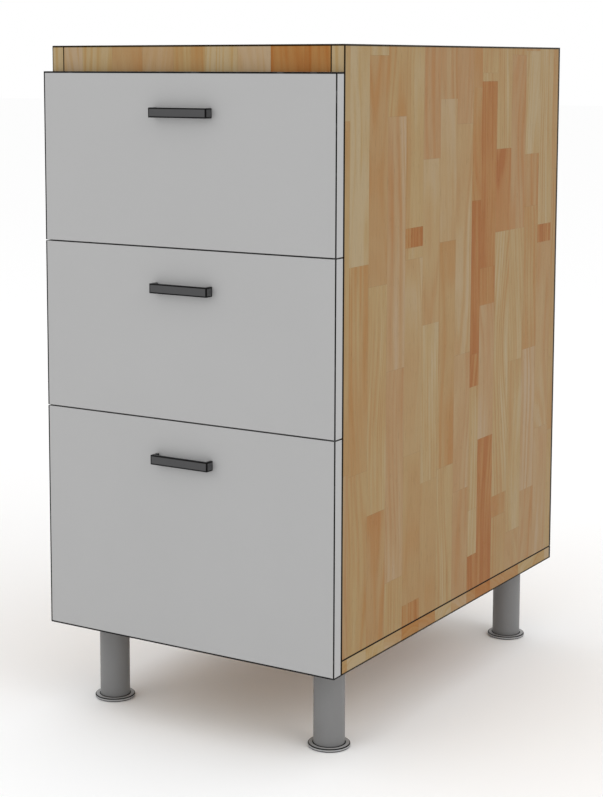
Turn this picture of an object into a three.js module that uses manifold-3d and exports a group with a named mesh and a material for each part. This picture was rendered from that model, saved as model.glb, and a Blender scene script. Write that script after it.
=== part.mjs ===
// A kitchen base cabinet with three drawers. The carcass is finger-jointed board on four adjustable
// legs, and each drawer is a wooden box with an overlay front, on two ball-bearing runners that
// telescope. Millimetres, +Z up, the fronts face -Y. The origin is on the floor, under the middle
// of the whole cabinet.
import * as THREE from "three";
import { mergeVertices } from "three/addons/utils/BufferGeometryUtils.js";
import Module from "manifold-3d";

const wasm = await Module();
wasm.setup();

// ---- Driving dimensions -------------------------------------------------------------------

const SEAT_GAP = 0.2; // between two pieces that bear on each other
const GROOVE_PLAY = 0.3; // between a panel and the groove it slides into

// Carcass
const CABINET_WIDTH = 400;
const CABINET_DEPTH = 580; // front edges to rear edges of the side panels
const BOARD = 17; // thickness of the carcass boards
const BOARD_EASE = 0.5; // chamfer along the edges of every carcass board
const TOP_REVEAL = 30; // carcass that shows above the top drawer front
const FRONT_RAIL_HEIGHT = 60;
const REAR_RAIL_WIDTH = 80;
const BACK_THICKNESS = 5;
const BACK_INSET = 15; // from the rear edges to the back panel
const BACK_GROOVE_DEPTH = 6;

// Drawer fronts. A bay is as high as a front with its share of the gaps.
const BOTTOM_BAY_HEIGHT = 270;
const UPPER_BAY_HEIGHT = 200;
const FRONT_GAP = 1; // between neighbouring fronts
const FRONT_THICKNESS = 16;
const FRONT_ROUNDING = 0.5;
const CLOSED_GAP = 1; // between a closed front and the carcass, where its bumpers sit

// Handles: flat bar folded into a square U
const HANDLE_LENGTH = 79;
const HANDLE_HEIGHT = 11.4;
const HANDLE_PROJECTION = 12.2;
const HANDLE_STOCK = 4;
const HANDLE_ROUNDING = 0.6;
const HANDLE_INSET = 40.3; // from a front's top edge down to its handle

// Drawer boxes
const BOX_BOARD = 12;
const BOX_EDGE_ROUNDING = 2;
const BOX_FLOOR_CLEARANCE = 10; // under the bottom drawer's box
const BOX_RAIL_CLEARANCE = 13; // between the top drawer's box and the front rail
const BASE_THICKNESS = 5;
const BASE_GROOVE_DEPTH = 6;
const BASE_RISE = 12; // from a box wall's lower edge up to its groove

// Runners: three nested rails of bent sheet
const RUNNER_WIDTH = 12.7; // side panel to drawer box
const RUNNER_HEIGHT = 45;
const RUNNER_RISE = 45; // from the box's lower edge up to the runner's centre
const RUNNER_SETBACK = 3; // behind the carcass's front edges
const RUNNER_LENGTH_STEP = 50; // runners come in lengths this far apart
const RUNNER_REAR_CLEARANCE = 20; // least room behind a runner
const SHEET = 1.2;
const BEND_RADIUS = 1.4; // to the middle of the sheet
const WEB_GAP = 0.8; // between the cabinet rail's web and the middle rail's
const OUTER_RACE_RADIUS = 2.6;
const OUTER_RACE_OFFSET = 5; // from the side panel to the outer balls' centres
const INNER_RACE_RADIUS = 2.1;
const RACE_SLOPE = 50; // degrees below level, from an outer ball's centre to the inner one's
const HOOD_OVERHANG = 10; // degrees that the middle rail's hood wraps past an inner ball's side
const CRADLE_WRAP = 70; // degrees that the drawer rail curls up round an inner ball
const BALL_RUNNING_GAP = 0.3;
const BALL_SEAT = 0.15; // how far the balls sit into the rail that carries them
const BALLS_PER_ROW = 2;
const BALL_PITCH = 160;
const CAGE_THICKNESS = 0.8;
const CAGE_HEIGHT = 2.4;
const CAGE_END = 8; // strip beyond the last ball
const SCREW_HOLE_RADIUS = 2.2;
const HOLE_PITCH = 32;
const FIRST_HOLE = 34; // from a runner's front end
const CABINET_RAIL_HOLES = 4; // pitches from one screw hole to the next
const DRAWER_RAIL_HOLES = 6;

// Legs
const LEG_HEIGHT = 106; // floor to the bottom panel, with the foot screwed right in
const LEG_SIDE_INSET = 45.4; // panel edges to a leg's axis
const LEG_FRONT_INSET = 51.4;
const LEG_REAR_INSET = 42.6;
const TUBE_DIAMETER = 36.8;
const TUBE_WALL = 1.5;
const TUBE_END_THICKNESS = 10; // the tapped end that holds the foot's stem
const PLATE_SIZE = 60;
const PLATE_THICKNESS = 3;
const PLATE_CORNER = 8;
const PLATE_HOLE_RADIUS = 2.5;
const PLATE_HOLE_SPACING = 44;
const SPIGOT_LENGTH = 12;
const SPIGOT_WALL = 2.5;
const SPIGOT_PLAY = 0.3; // radial, inside the tube
const FOOT_DIAMETER = 49.4;
const FOOT_THICKNESS = 4.1;
const FOOT_EASE = 0.6;
const STEM_DIAMETER = 10;
const STEM_LENGTH = 38;
const STEM_PLAY = 0.2; // radial, in the tapped end

// Facets
const ROUND_STEPS = 24; // round a leg
const HOLE_STEPS = 8;
const BEND_STEPS = 3; // along a bend of sheet
// An arc in a shape is drawn with twice as many facets as these.
const CORNER_STEPS = 1;
const EDGE_STEPS = 2;
const BALL_STEPS = { around: 6, down: 4 };

// ---- Sizes that follow --------------------------------------------------------------------

const CARCASS_HEIGHT = BOTTOM_BAY_HEIGHT + 2 * UPPER_BAY_HEIGHT + TOP_REVEAL;
const INNER_WIDTH = CABINET_WIDTH - 2 * BOARD;
const BACK_FRONT_FACE = CABINET_DEPTH - BACK_INSET - BACK_THICKNESS;
const FRONT_BACK_FACE = -CLOSED_GAP; // a closed front's rear face
const FRONT_FACE = FRONT_BACK_FACE - FRONT_THICKNESS;
const FRONTMOST = FRONT_FACE - SEAT_GAP - HANDLE_PROJECTION;

const RUNNER_ROOM = BACK_FRONT_FACE - RUNNER_SETBACK - RUNNER_REAR_CLEARANCE;
const RUNNER_LENGTH = Math.floor(RUNNER_ROOM / RUNNER_LENGTH_STEP) * RUNNER_LENGTH_STEP;
const MOVING_RAIL_LENGTH = RUNNER_LENGTH - SHEET - BALL_RUNNING_GAP; // stops at the rear lug

const BOX_FRONT_FACE = FRONT_BACK_FACE + SEAT_GAP;
const BOX_DEPTH = RUNNER_SETBACK + MOVING_RAIL_LENGTH - BOX_FRONT_FACE;
const BOX_WIDTH = INNER_WIDTH - 2 * (RUNNER_WIDTH + 2 * SEAT_GAP);
const BOX_RISE = BOARD + BOX_FLOOR_CLEARANCE; // above a bay's lower line
const BOX_HEADROOM = FRONT_RAIL_HEIGHT - TOP_REVEAL + BOX_RAIL_CLEARANCE;

const DRAWERS = [
  { name: "bottom", floor: 0, bay: BOTTOM_BAY_HEIGHT },
  { name: "middle", floor: BOTTOM_BAY_HEIGHT, bay: UPPER_BAY_HEIGHT },
  { name: "top", floor: BOTTOM_BAY_HEIGHT + UPPER_BAY_HEIGHT, bay: UPPER_BAY_HEIGHT },
];

// ---- Materials ----------------------------------------------------------------------------

const finish = (color, roughness, metalness) => () =>
  new THREE.MeshStandardMaterial({ color, roughness, metalness });

const staveBoard = finish(0xa68c6c, 0.55, 0);
const boxBoard = finish(0xc8ab80, 0.6, 0);
const backSheet = finish(0xb9a17c, 0.7, 0);
const greyFront = finish(0xb2b2b2, 0.7, 0);
const darkMetal = finish(0x505050, 0.5, 0.3);
const greyMetal = finish(0x777777, 0.45, 0.4);
const palePlastic = finish(0xa4a4a4, 0.6, 0);
const zincSteel = finish(0xb4b8bc, 0.35, 0.9);

function piece(name, geometry, material) {
  const mesh = new THREE.Mesh(geometry, material());
  mesh.name = name;
  return mesh;
}

function at(object, x, y, z) {
  object.position.set(x, y, z);
  return object;
}

// ---- Solids -------------------------------------------------------------------------------

function asSolid(geometry) {
  const bare = geometry.clone();
  bare.deleteAttribute("normal");
  bare.deleteAttribute("uv");
  const merged = mergeVertices(bare);
  const mesh = { numProp: 3, vertProperties: merged.attributes.position.array };
  return new wasm.Manifold(new wasm.Mesh({ ...mesh, triVerts: merged.index.array }));
}

function asGeometry(solid) {
  const { vertProperties, triVerts } = solid.getMesh();
  const geometry = new THREE.BufferGeometry();
  geometry.setAttribute("position", new THREE.BufferAttribute(vertProperties, 3));
  geometry.setIndex(new THREE.BufferAttribute(triVerts, 1));
  return geometry.toNonIndexed();
}

function cut(geometry, tools) {
  return asGeometry(tools.reduce((solid, tool) => solid.subtract(asSolid(tool)), asSolid(geometry)));
}

function join(geometries) {
  return asGeometry(geometries.map(asSolid).reduce((solid, next) => solid.add(next)));
}

// A closed outline through its points, in order.
function outlineOf(points) {
  return new THREE.Shape(points.map(([x, y]) => new THREE.Vector2(x, y)));
}

// A rectangle centred on the origin, its corners rounded.
function roundedRectangle(width, height, radius) {
  const [x, y] = [width / 2 - radius, height / 2 - radius];
  const shape = new THREE.Shape();
  shape.absarc(x, -y, radius, -Math.PI / 2, 0);
  shape.absarc(x, y, radius, 0, Math.PI / 2);
  shape.absarc(-x, y, radius, Math.PI / 2, Math.PI);
  shape.absarc(-x, -y, radius, Math.PI, 1.5 * Math.PI);
  return shape.closePath();
}

// An outline raised along +Z, centred on its height, with its two faces' edges eased.
function easedExtrusion(shape, height, ease, steps) {
  const geometry = new THREE.ExtrudeGeometry(shape, {
    depth: height - 2 * ease,
    bevelThickness: ease,
    bevelSize: ease,
    bevelOffset: -ease,
    bevelSegments: steps,
    curveSegments: CORNER_STEPS,
  });
  return geometry.translate(0, 0, ease - height / 2);
}

// A rectangular board, centred on the origin, with every edge eased.
function easedBoard(x, y, z, ease, steps = 1) {
  return easedExtrusion(roundedRectangle(x, y, ease), z, ease, steps);
}

// A section drawn in X and Z, run back along +Y from the origin.
function alongY(section, length) {
  const options = { depth: length, bevelEnabled: false, curveSegments: EDGE_STEPS };
  const geometry = new THREE.ExtrudeGeometry(section, options);
  return geometry.rotateX(Math.PI / 2).translate(0, length, 0);
}

// A round cutter along the Y axis, centred on the origin.
function drill(radius, length) {
  return new THREE.CylinderGeometry(radius, radius, length, HOLE_STEPS);
}

// A profile of [radius, height] points turned round the Z axis.
function turned(profile) {
  const points = profile.map(([radius, height]) => new THREE.Vector2(radius, height));
  return new THREE.LatheGeometry(points, ROUND_STEPS).rotateX(Math.PI / 2);
}

// ---- Carcass ------------------------------------------------------------------------------

const CARCASS = {
  sidePanelHeight: CARCASS_HEIGHT - BOARD - SEAT_GAP,
  grooveWidth: BACK_THICKNESS + GROOVE_PLAY,
  railLength: INNER_WIDTH - 2 * SEAT_GAP,
  backCentre: BACK_FRONT_FACE + BACK_THICKNESS / 2,
};

// The groove runs up the whole inner face. `inward` is +1 where that face is the right-hand one.
function sidePanel(name, inward) {
  const height = CARCASS.sidePanelHeight;
  const groove = new THREE.BoxGeometry(2 * BACK_GROOVE_DEPTH, CARCASS.grooveWidth, height + BOARD);
  groove.translate((inward * BOARD) / 2, CARCASS.backCentre - CABINET_DEPTH / 2, 0);
  const panel = cut(easedBoard(BOARD, CABINET_DEPTH, height, BOARD_EASE), [groove]);
  const x = (-inward * (CABINET_WIDTH - BOARD)) / 2;
  return at(piece(name, panel, staveBoard), x, CABINET_DEPTH / 2, CARCASS_HEIGHT - height / 2);
}

function bottomPanel() {
  const length = INNER_WIDTH + 2 * BACK_GROOVE_DEPTH;
  const groove = new THREE.BoxGeometry(length, CARCASS.grooveWidth, 2 * BACK_GROOVE_DEPTH);
  groove.translate(0, CARCASS.backCentre - CABINET_DEPTH / 2, BOARD / 2);
  const panel = cut(easedBoard(CABINET_WIDTH, CABINET_DEPTH, BOARD, BOARD_EASE), [groove]);
  return at(piece("bottom_panel", panel, staveBoard), 0, CABINET_DEPTH / 2, BOARD / 2);
}

function frontRail() {
  const rail = easedBoard(CARCASS.railLength, BOARD, FRONT_RAIL_HEIGHT, BOARD_EASE);
  const z = CARCASS_HEIGHT - FRONT_RAIL_HEIGHT / 2;
  return at(piece("front_rail", rail, staveBoard), 0, BOARD / 2, z);
}

function rearRail() {
  const rail = easedBoard(CARCASS.railLength, REAR_RAIL_WIDTH, BOARD, BOARD_EASE);
  const y = BACK_FRONT_FACE - SEAT_GAP - REAR_RAIL_WIDTH / 2;
  return at(piece("rear_rail", rail, staveBoard), 0, y, CARCASS_HEIGHT - BOARD / 2);
}

function backPanel() {
  const tongue = BACK_GROOVE_DEPTH - GROOVE_PLAY;
  const height = CARCASS_HEIGHT - BOARD + tongue;
  const panel = easedBoard(INNER_WIDTH + 2 * tongue, BACK_THICKNESS, height, BOARD_EASE);
  const z = CARCASS_HEIGHT - height / 2;
  return at(piece("back_panel", panel, backSheet), 0, CARCASS.backCentre, z);
}

// ---- Legs ---------------------------------------------------------------------------------

// A screw plate under the bottom panel, with a ring that the tube fits over.
function legPlate() {
  const shape = roundedRectangle(PLATE_SIZE, PLATE_SIZE, PLATE_CORNER);
  const options = { depth: PLATE_THICKNESS, bevelEnabled: false, curveSegments: EDGE_STEPS };
  const plate = new THREE.ExtrudeGeometry(shape, options).translate(0, 0, -PLATE_THICKNESS);
  const holes = [];
  for (const x of [-1, 1]) {
    for (const y of [-1, 1]) {
      const hole = drill(PLATE_HOLE_RADIUS, 4 * PLATE_THICKNESS).rotateX(Math.PI / 2);
      holes.push(hole.translate((x * PLATE_HOLE_SPACING) / 2, (y * PLATE_HOLE_SPACING) / 2, 0));
    }
  }
  const outer = TUBE_DIAMETER / 2 - TUBE_WALL - SPIGOT_PLAY;
  const inner = outer - SPIGOT_WALL;
  const top = -PLATE_THICKNESS / 2; // starts inside the plate, so that the two fuse
  const bottom = -PLATE_THICKNESS - SPIGOT_LENGTH;
  const ring = [
    [inner, bottom],
    [outer, bottom],
    [outer, top],
    [inner, top],
    [inner, bottom],
  ];
  return cut(join([plate, turned(ring)]), holes);
}

// An open tube with a thick, tapped lower end.
function legTube() {
  const outer = TUBE_DIAMETER / 2;
  const inner = outer - TUBE_WALL;
  const bore = STEM_DIAMETER / 2 + STEM_PLAY;
  const top = -PLATE_THICKNESS - SEAT_GAP;
  const bottom = FOOT_THICKNESS + SEAT_GAP - LEG_HEIGHT;
  const endTop = bottom + TUBE_END_THICKNESS;
  return turned([
    [bore, bottom],
    [outer, bottom],
    [outer, top],
    [inner, top],
    [inner, endTop],
    [bore, endTop],
    [bore, bottom],
  ]);
}

// A disc on a stem that screws up into the tube.
function legFoot() {
  const disc = FOOT_DIAMETER / 2;
  const stem = STEM_DIAMETER / 2;
  return turned([
    [0, 0],
    [disc - FOOT_EASE, 0],
    [disc, FOOT_EASE],
    [disc, FOOT_THICKNESS - FOOT_EASE],
    [disc - FOOT_EASE, FOOT_THICKNESS],
    [stem, FOOT_THICKNESS],
    [stem, FOOT_THICKNESS + STEM_LENGTH],
    [0, FOOT_THICKNESS + STEM_LENGTH],
  ]).translate(0, 0, -LEG_HEIGHT);
}

// One leg hangs from the origin, which is on the bottom panel's underside.
function leg(corner) {
  const group = new THREE.Group();
  const plate = piece(`leg_plate_${corner}`, legPlate(), greyMetal);
  group.add(at(plate, 0, 0, -SEAT_GAP));
  group.add(piece(`leg_tube_${corner}`, legTube().translate(0, 0, -SEAT_GAP / 2), greyMetal));
  group.add(piece(`leg_foot_${corner}`, legFoot(), palePlastic));
  return group;
}

function legs() {
  const group = new THREE.Group();
  const x = CABINET_WIDTH / 2 - LEG_SIDE_INSET;
  const rows = { front: LEG_FRONT_INSET, rear: CABINET_DEPTH - LEG_REAR_INSET };
  for (const [row, y] of Object.entries(rows)) {
    group.add(at(leg(`${row}_left`), -x, y, 0), at(leg(`${row}_right`), x, y, 0));
  }
  return group;
}

// ---- Runners ------------------------------------------------------------------------------

// A runner's section is drawn with X away from the side panel and Y up, about its mid-height.
// Its bends run from one direction to another, in degrees.
const OUTWARD = 0;
const UPWARD = 90;
const INWARD = 180;
const DOWNWARD = 270;
const FULL_TURN = 360;

const outerRace = {
  x: OUTER_RACE_OFFSET,
  y: RUNNER_HEIGHT / 2 - SHEET - OUTER_RACE_RADIUS,
  radius: OUTER_RACE_RADIUS,
};
const raceSpacing = OUTER_RACE_RADIUS + SHEET + INNER_RACE_RADIUS;
const raceSlope = THREE.MathUtils.degToRad(RACE_SLOPE);
const innerRace = {
  x: outerRace.x + raceSpacing * Math.cos(raceSlope),
  y: outerRace.y - raceSpacing * Math.sin(raceSlope),
  radius: INNER_RACE_RADIUS,
};

// The bend round a race, at the middle of the sheet that wraps it.
function raceBend(race, from, to) {
  return { x: race.x, y: race.y, radius: race.radius + SHEET / 2, from, to };
}

// The bend that turns a web, rising at `web`, into a flange at the height `flange`.
function webBend(web, flange, from) {
  const centre = from === INWARD ? web + BEND_RADIUS : web - BEND_RADIUS;
  return { x: centre, y: flange - BEND_RADIUS, radius: BEND_RADIUS, from, to: UPWARD };
}

// The outline of a channel of bent sheet. Its upper half is given as bends, from the web to the
// lip, with straight sheet between them, and its lower half is the mirror image.
function channelSection(bends) {
  const left = [];
  const right = [];
  for (const { x, y, radius, from, to } of bends) {
    const turn = Math.sign(to - from);
    for (let step = 0; step <= BEND_STEPS; step++) {
      const angle = THREE.MathUtils.degToRad(from + ((to - from) * step) / BEND_STEPS);
      const point = (r) => [x + r * Math.cos(angle), y + r * Math.sin(angle)];
      left.push(point(radius - (turn * SHEET) / 2));
      right.push(point(radius + (turn * SHEET) / 2));
    }
  }
  const upper = [...left, ...right.reverse()];
  const lower = upper.map(([x, y]) => [x, -y]).reverse();
  return outlineOf([...upper, ...lower]);
}

// Screw holes through a web, with so many pitches of the hole grid from one to the next.
function screwHoles(pitches) {
  const holes = [];
  for (let y = FIRST_HOLE; y < MOVING_RAIL_LENGTH - HOLE_PITCH / 2; y += pitches * HOLE_PITCH) {
    holes.push(drill(SCREW_HOLE_RADIUS, 4 * RUNNER_WIDTH).rotateZ(Math.PI / 2).translate(0, y, 0));
  }
  return holes;
}

// The outer channel, screwed to the side panel, with a lug at its rear that stops the others.
function cabinetRail() {
  const web = SHEET / 2;
  const flange = RUNNER_HEIGHT / 2 - SHEET / 2;
  const bends = [webBend(web, flange, INWARD), raceBend(outerRace, UPWARD, OUTWARD)];
  const rail = alongY(channelSection(bends), RUNNER_LENGTH);
  const lug = new THREE.BoxGeometry(innerRace.x, SHEET, 2 * innerRace.y);
  lug.translate(innerRace.x / 2 + web, RUNNER_LENGTH - SHEET / 2, 0);
  return cut(join([rail, lug]), screwHoles(CABINET_RAIL_HOLES));
}

// The channel between, which cradles the outer balls and hoods the inner ones.
function middleRail() {
  const web = SHEET + WEB_GAP + SHEET / 2;
  const flange = outerRace.y - outerRace.radius - SHEET / 2;
  const bends = [
    webBend(web, flange, INWARD),
    raceBend(outerRace, DOWNWARD, FULL_TURN - RACE_SLOPE),
    raceBend(innerRace, INWARD - RACE_SLOPE, OUTWARD - HOOD_OVERHANG),
  ];
  const rail = alongY(channelSection(bends), MOVING_RAIL_LENGTH);
  const middle = MOVING_RAIL_LENGTH / 2;
  // The outer balls stay in the cabinet rail, and the inner ones in the drawer rail, at full reach.
  const rear = ballRow(outerRace, -1, middle + MOVING_RAIL_LENGTH / 4);
  const front = ballRow(innerRace, 1, middle - MOVING_RAIL_LENGTH / 4);
  return join([rail, ...rear, ...front]);
}

// Balls in their cage along both races, above and below, centred on the distance `y`. `seat` is
// the way, +1 up or -1 down, to the rail that carries the upper ones.
function ballRow(race, seat, y) {
  const radius = race.radius - (BALL_RUNNING_GAP - BALL_SEAT) / 2;
  const height = race.y + (seat * (BALL_RUNNING_GAP + BALL_SEAT)) / 2;
  const cageLength = (BALLS_PER_ROW - 1) * BALL_PITCH + 2 * CAGE_END;
  const solids = [];
  for (const side of [-1, 1]) {
    const cage = new THREE.BoxGeometry(CAGE_THICKNESS, cageLength, CAGE_HEIGHT);
    solids.push(cage.translate(race.x, y, side * height));
    for (let i = 0; i < BALLS_PER_ROW; i++) {
      const ball = new THREE.SphereGeometry(radius, BALL_STEPS.around, BALL_STEPS.down);
      const along = y + (i - (BALLS_PER_ROW - 1) / 2) * BALL_PITCH;
      solids.push(ball.rotateX(Math.PI / 2).translate(race.x, along, side * height));
    }
  }
  return solids;
}

// The inner channel, screwed to the drawer box, which cradles the inner balls.
function drawerRail() {
  const web = RUNNER_WIDTH - SHEET / 2;
  const flange = innerRace.y - innerRace.radius - SHEET / 2;
  const cradle = raceBend(innerRace, DOWNWARD, DOWNWARD - CRADLE_WRAP);
  const section = channelSection([webBend(web, flange, OUTWARD), cradle]);
  return cut(alongY(section, MOVING_RAIL_LENGTH), screwHoles(DRAWER_RAIL_HOLES));
}

// One runner for the left side. Half a turn about Y makes it the right-hand one.
function runner(name) {
  const group = new THREE.Group();
  group.add(piece(`${name}_cabinet_rail`, cabinetRail(), zincSteel));
  group.add(piece(`${name}_middle_rail`, middleRail(), zincSteel));
  group.add(piece(`${name}_drawer_rail`, drawerRail(), zincSteel));
  return group;
}

// ---- Drawers ------------------------------------------------------------------------------

// A wall of a drawer box: rounded upper edges, and a groove for the base in its right-hand face.
function boxWall(length, height) {
  const half = BOX_BOARD / 2;
  const round = BOX_EDGE_ROUNDING;
  const floor = half - BASE_GROOVE_DEPTH;
  const grooveTop = BASE_RISE + BASE_THICKNESS + GROOVE_PLAY;
  const section = outlineOf([
    [-half, 0],
    [half, 0],
    [half, BASE_RISE],
    [floor, BASE_RISE],
    [floor, grooveTop],
    [half, grooveTop],
  ]);
  section.absarc(half - round, height - round, round, 0, Math.PI / 2);
  section.absarc(round - half, height - round, round, Math.PI / 2, Math.PI);
  return alongY(section, length);
}

function handle() {
  const half = HANDLE_LENGTH / 2;
  const shape = outlineOf([
    [-half, 0],
    [-half, -HANDLE_PROJECTION],
    [half, -HANDLE_PROJECTION],
    [half, 0],
    [half - HANDLE_STOCK, 0],
    [half - HANDLE_STOCK, HANDLE_STOCK - HANDLE_PROJECTION],
    [HANDLE_STOCK - half, HANDLE_STOCK - HANDLE_PROJECTION],
    [HANDLE_STOCK - half, 0],
  ]);
  return easedExtrusion(shape, HANDLE_HEIGHT, HANDLE_ROUNDING, 2);
}

// The lower and upper edges of a drawer's front. Neighbours share the gap between their bays.
function frontEdges({ name, floor, bay }) {
  const lower = name === "bottom" ? floor : floor + FRONT_GAP / 2;
  const upper = name === "top" ? floor + bay : floor + bay - FRONT_GAP / 2;
  return { lower, upper };
}

function drawerFront(drawer) {
  const { lower, upper } = frontEdges(drawer);
  const group = new THREE.Group();
  const board = easedBoard(CABINET_WIDTH, FRONT_THICKNESS, upper - lower, FRONT_ROUNDING, 2);
  const front = piece(`${drawer.name}_drawer_front`, board, greyFront);
  group.add(at(front, 0, FRONT_FACE + FRONT_THICKNESS / 2, (lower + upper) / 2));
  const grip = piece(`${drawer.name}_drawer_handle`, handle(), darkMetal);
  const gripHeight = upper - HANDLE_INSET - HANDLE_HEIGHT / 2;
  group.add(at(grip, 0, FRONT_FACE - SEAT_GAP, gripHeight));
  return group;
}

// The box stands on the plane of its walls' lower edges, its front on the XZ plane.
function drawerBox({ name, bay }) {
  const height = bay - BOX_RISE - BOX_HEADROOM;
  const insideWidth = BOX_WIDTH - 2 * BOX_BOARD;
  const endLength = insideWidth - 2 * SEAT_GAP;
  const wall = (label, length) => piece(`${name}_drawer_${label}`, boxWall(length, height), boxBoard);

  const left = at(wall("left_side", BOX_DEPTH), (BOX_BOARD - BOX_WIDTH) / 2, 0, 0);
  const right = at(wall("right_side", BOX_DEPTH), (BOX_WIDTH - BOX_BOARD) / 2, 0, 0);
  right.geometry.rotateZ(Math.PI).translate(0, BOX_DEPTH, 0);
  const front = at(wall("box_front", endLength), -endLength / 2, BOX_BOARD / 2, 0);
  front.geometry.rotateZ(Math.PI / 2).translate(endLength, 0, 0);
  const back = at(wall("box_back", endLength), -endLength / 2, BOX_DEPTH - BOX_BOARD / 2, 0);
  back.geometry.rotateZ(-Math.PI / 2);

  const tongue = BASE_GROOVE_DEPTH - GROOVE_PLAY;
  const insideDepth = BOX_DEPTH - 2 * BOX_BOARD;
  const sheet = new THREE.BoxGeometry(insideWidth + 2 * tongue, insideDepth + 2 * tongue, BASE_THICKNESS);
  const baseHeight = BASE_RISE + (BASE_THICKNESS + GROOVE_PLAY) / 2;
  const base = at(piece(`${name}_drawer_base`, sheet, backSheet), 0, BOX_DEPTH / 2, baseHeight);

  const group = new THREE.Group();
  return group.add(left, right, front, back, base);
}

function runners({ name, floor }) {
  const group = new THREE.Group();
  const x = INNER_WIDTH / 2 - SEAT_GAP;
  const z = floor + BOX_RISE + RUNNER_RISE;
  const left = at(runner(`${name}_left`), -x, RUNNER_SETBACK, z);
  const right = at(runner(`${name}_right`), x, RUNNER_SETBACK, z);
  right.rotation.y = Math.PI;
  return group.add(left, right);
}

// ---- Cabinet ------------------------------------------------------------------------------

// Built with its origin on the bottom panel's underside, at the middle of the carcass's front.
const cabinet = new THREE.Group();
cabinet.add(sidePanel("side_panel_left", 1), sidePanel("side_panel_right", -1), bottomPanel());
cabinet.add(frontRail(), rearRail(), backPanel(), legs());
for (const drawer of DRAWERS) {
  const box = at(drawerBox(drawer), 0, BOX_FRONT_FACE, drawer.floor + BOX_RISE);
  cabinet.add(drawerFront(drawer), box, runners(drawer));
}
cabinet.position.set(0, -(CABINET_DEPTH + FRONTMOST) / 2, LEG_HEIGHT);

const group = new THREE.Group();
group.name = "base_cabinet_with_drawers";
group.add(cabinet);

export default group;
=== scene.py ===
"""The looks of a narrow kitchen base cabinet with three drawers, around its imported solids.

Lengths are metres. The origin is on the floor under the middle of the cabinet, +Z is up, and the
drawer fronts face -Y.
"""

import logging
import math
from contextlib import contextmanager
from dataclasses import dataclass, field
from enum import Enum
from typing import Any, Callable, Iterator, Sequence, Union

import bmesh
import bpy
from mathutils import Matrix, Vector


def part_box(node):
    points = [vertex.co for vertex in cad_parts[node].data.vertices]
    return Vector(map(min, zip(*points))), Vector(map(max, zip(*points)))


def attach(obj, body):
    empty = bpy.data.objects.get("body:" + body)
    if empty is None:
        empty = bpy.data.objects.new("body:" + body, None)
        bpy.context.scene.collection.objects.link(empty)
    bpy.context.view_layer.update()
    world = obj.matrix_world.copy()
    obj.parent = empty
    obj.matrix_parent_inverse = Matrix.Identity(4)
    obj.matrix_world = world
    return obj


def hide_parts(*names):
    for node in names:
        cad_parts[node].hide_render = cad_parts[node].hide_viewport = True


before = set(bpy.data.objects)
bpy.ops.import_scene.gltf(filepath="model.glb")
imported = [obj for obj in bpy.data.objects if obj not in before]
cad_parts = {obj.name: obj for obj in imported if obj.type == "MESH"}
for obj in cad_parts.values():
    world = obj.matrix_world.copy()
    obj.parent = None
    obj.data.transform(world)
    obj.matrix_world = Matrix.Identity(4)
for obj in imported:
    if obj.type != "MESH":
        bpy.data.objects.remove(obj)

LOG = logging.getLogger("base_cabinet")
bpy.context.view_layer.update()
MM = 0.001
HAIR = 0.01 * MM

Rgb = tuple[float, float, float]
Ring = tuple[float, float]  # radius and height
Corner = tuple[float, float]  # X and Z
Box = tuple[Vector, Vector]  # lowest and highest corner


class Axis(Enum):
    """A direction of the part's frame."""

    X = 0
    Y = 1
    Z = 2


class Level(Enum):
    """A drawer's place in the stack."""

    BOTTOM = "bottom"
    MIDDLE = "middle"
    TOP = "top"


class Side(Enum):
    """The left or the right of the cabinet, as seen from the front."""

    LEFT = "left"
    RIGHT = "right"


class Row(Enum):
    """The front or the rear pair of legs."""

    FRONT = "front"
    REAR = "rear"


class End(Enum):
    """The end of a box at its lowest or its highest corner."""

    LOW = 0
    HIGH = 1


EdgeWidths = dict[tuple[Axis, End], float]


def screen_colour(red: int, green: int, blue: int) -> Rgb:
    """Turns a colour as a screen shows it, 0 to 255, into the linear colour that a shader takes.

    Args:
        red: The red share.
        green: The green share.
        blue: The blue share.

    Returns:
        The three linear shares, 0 to 1.
    """
    shares = [value / 255 for value in (red, green, blue)]
    return tuple(s / 12.92 if s <= 0.04045 else ((s + 0.055) / 1.055) ** 2.4 for s in shares)


# ---- Shader maths ------------------------------------------------------------------------------


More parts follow.
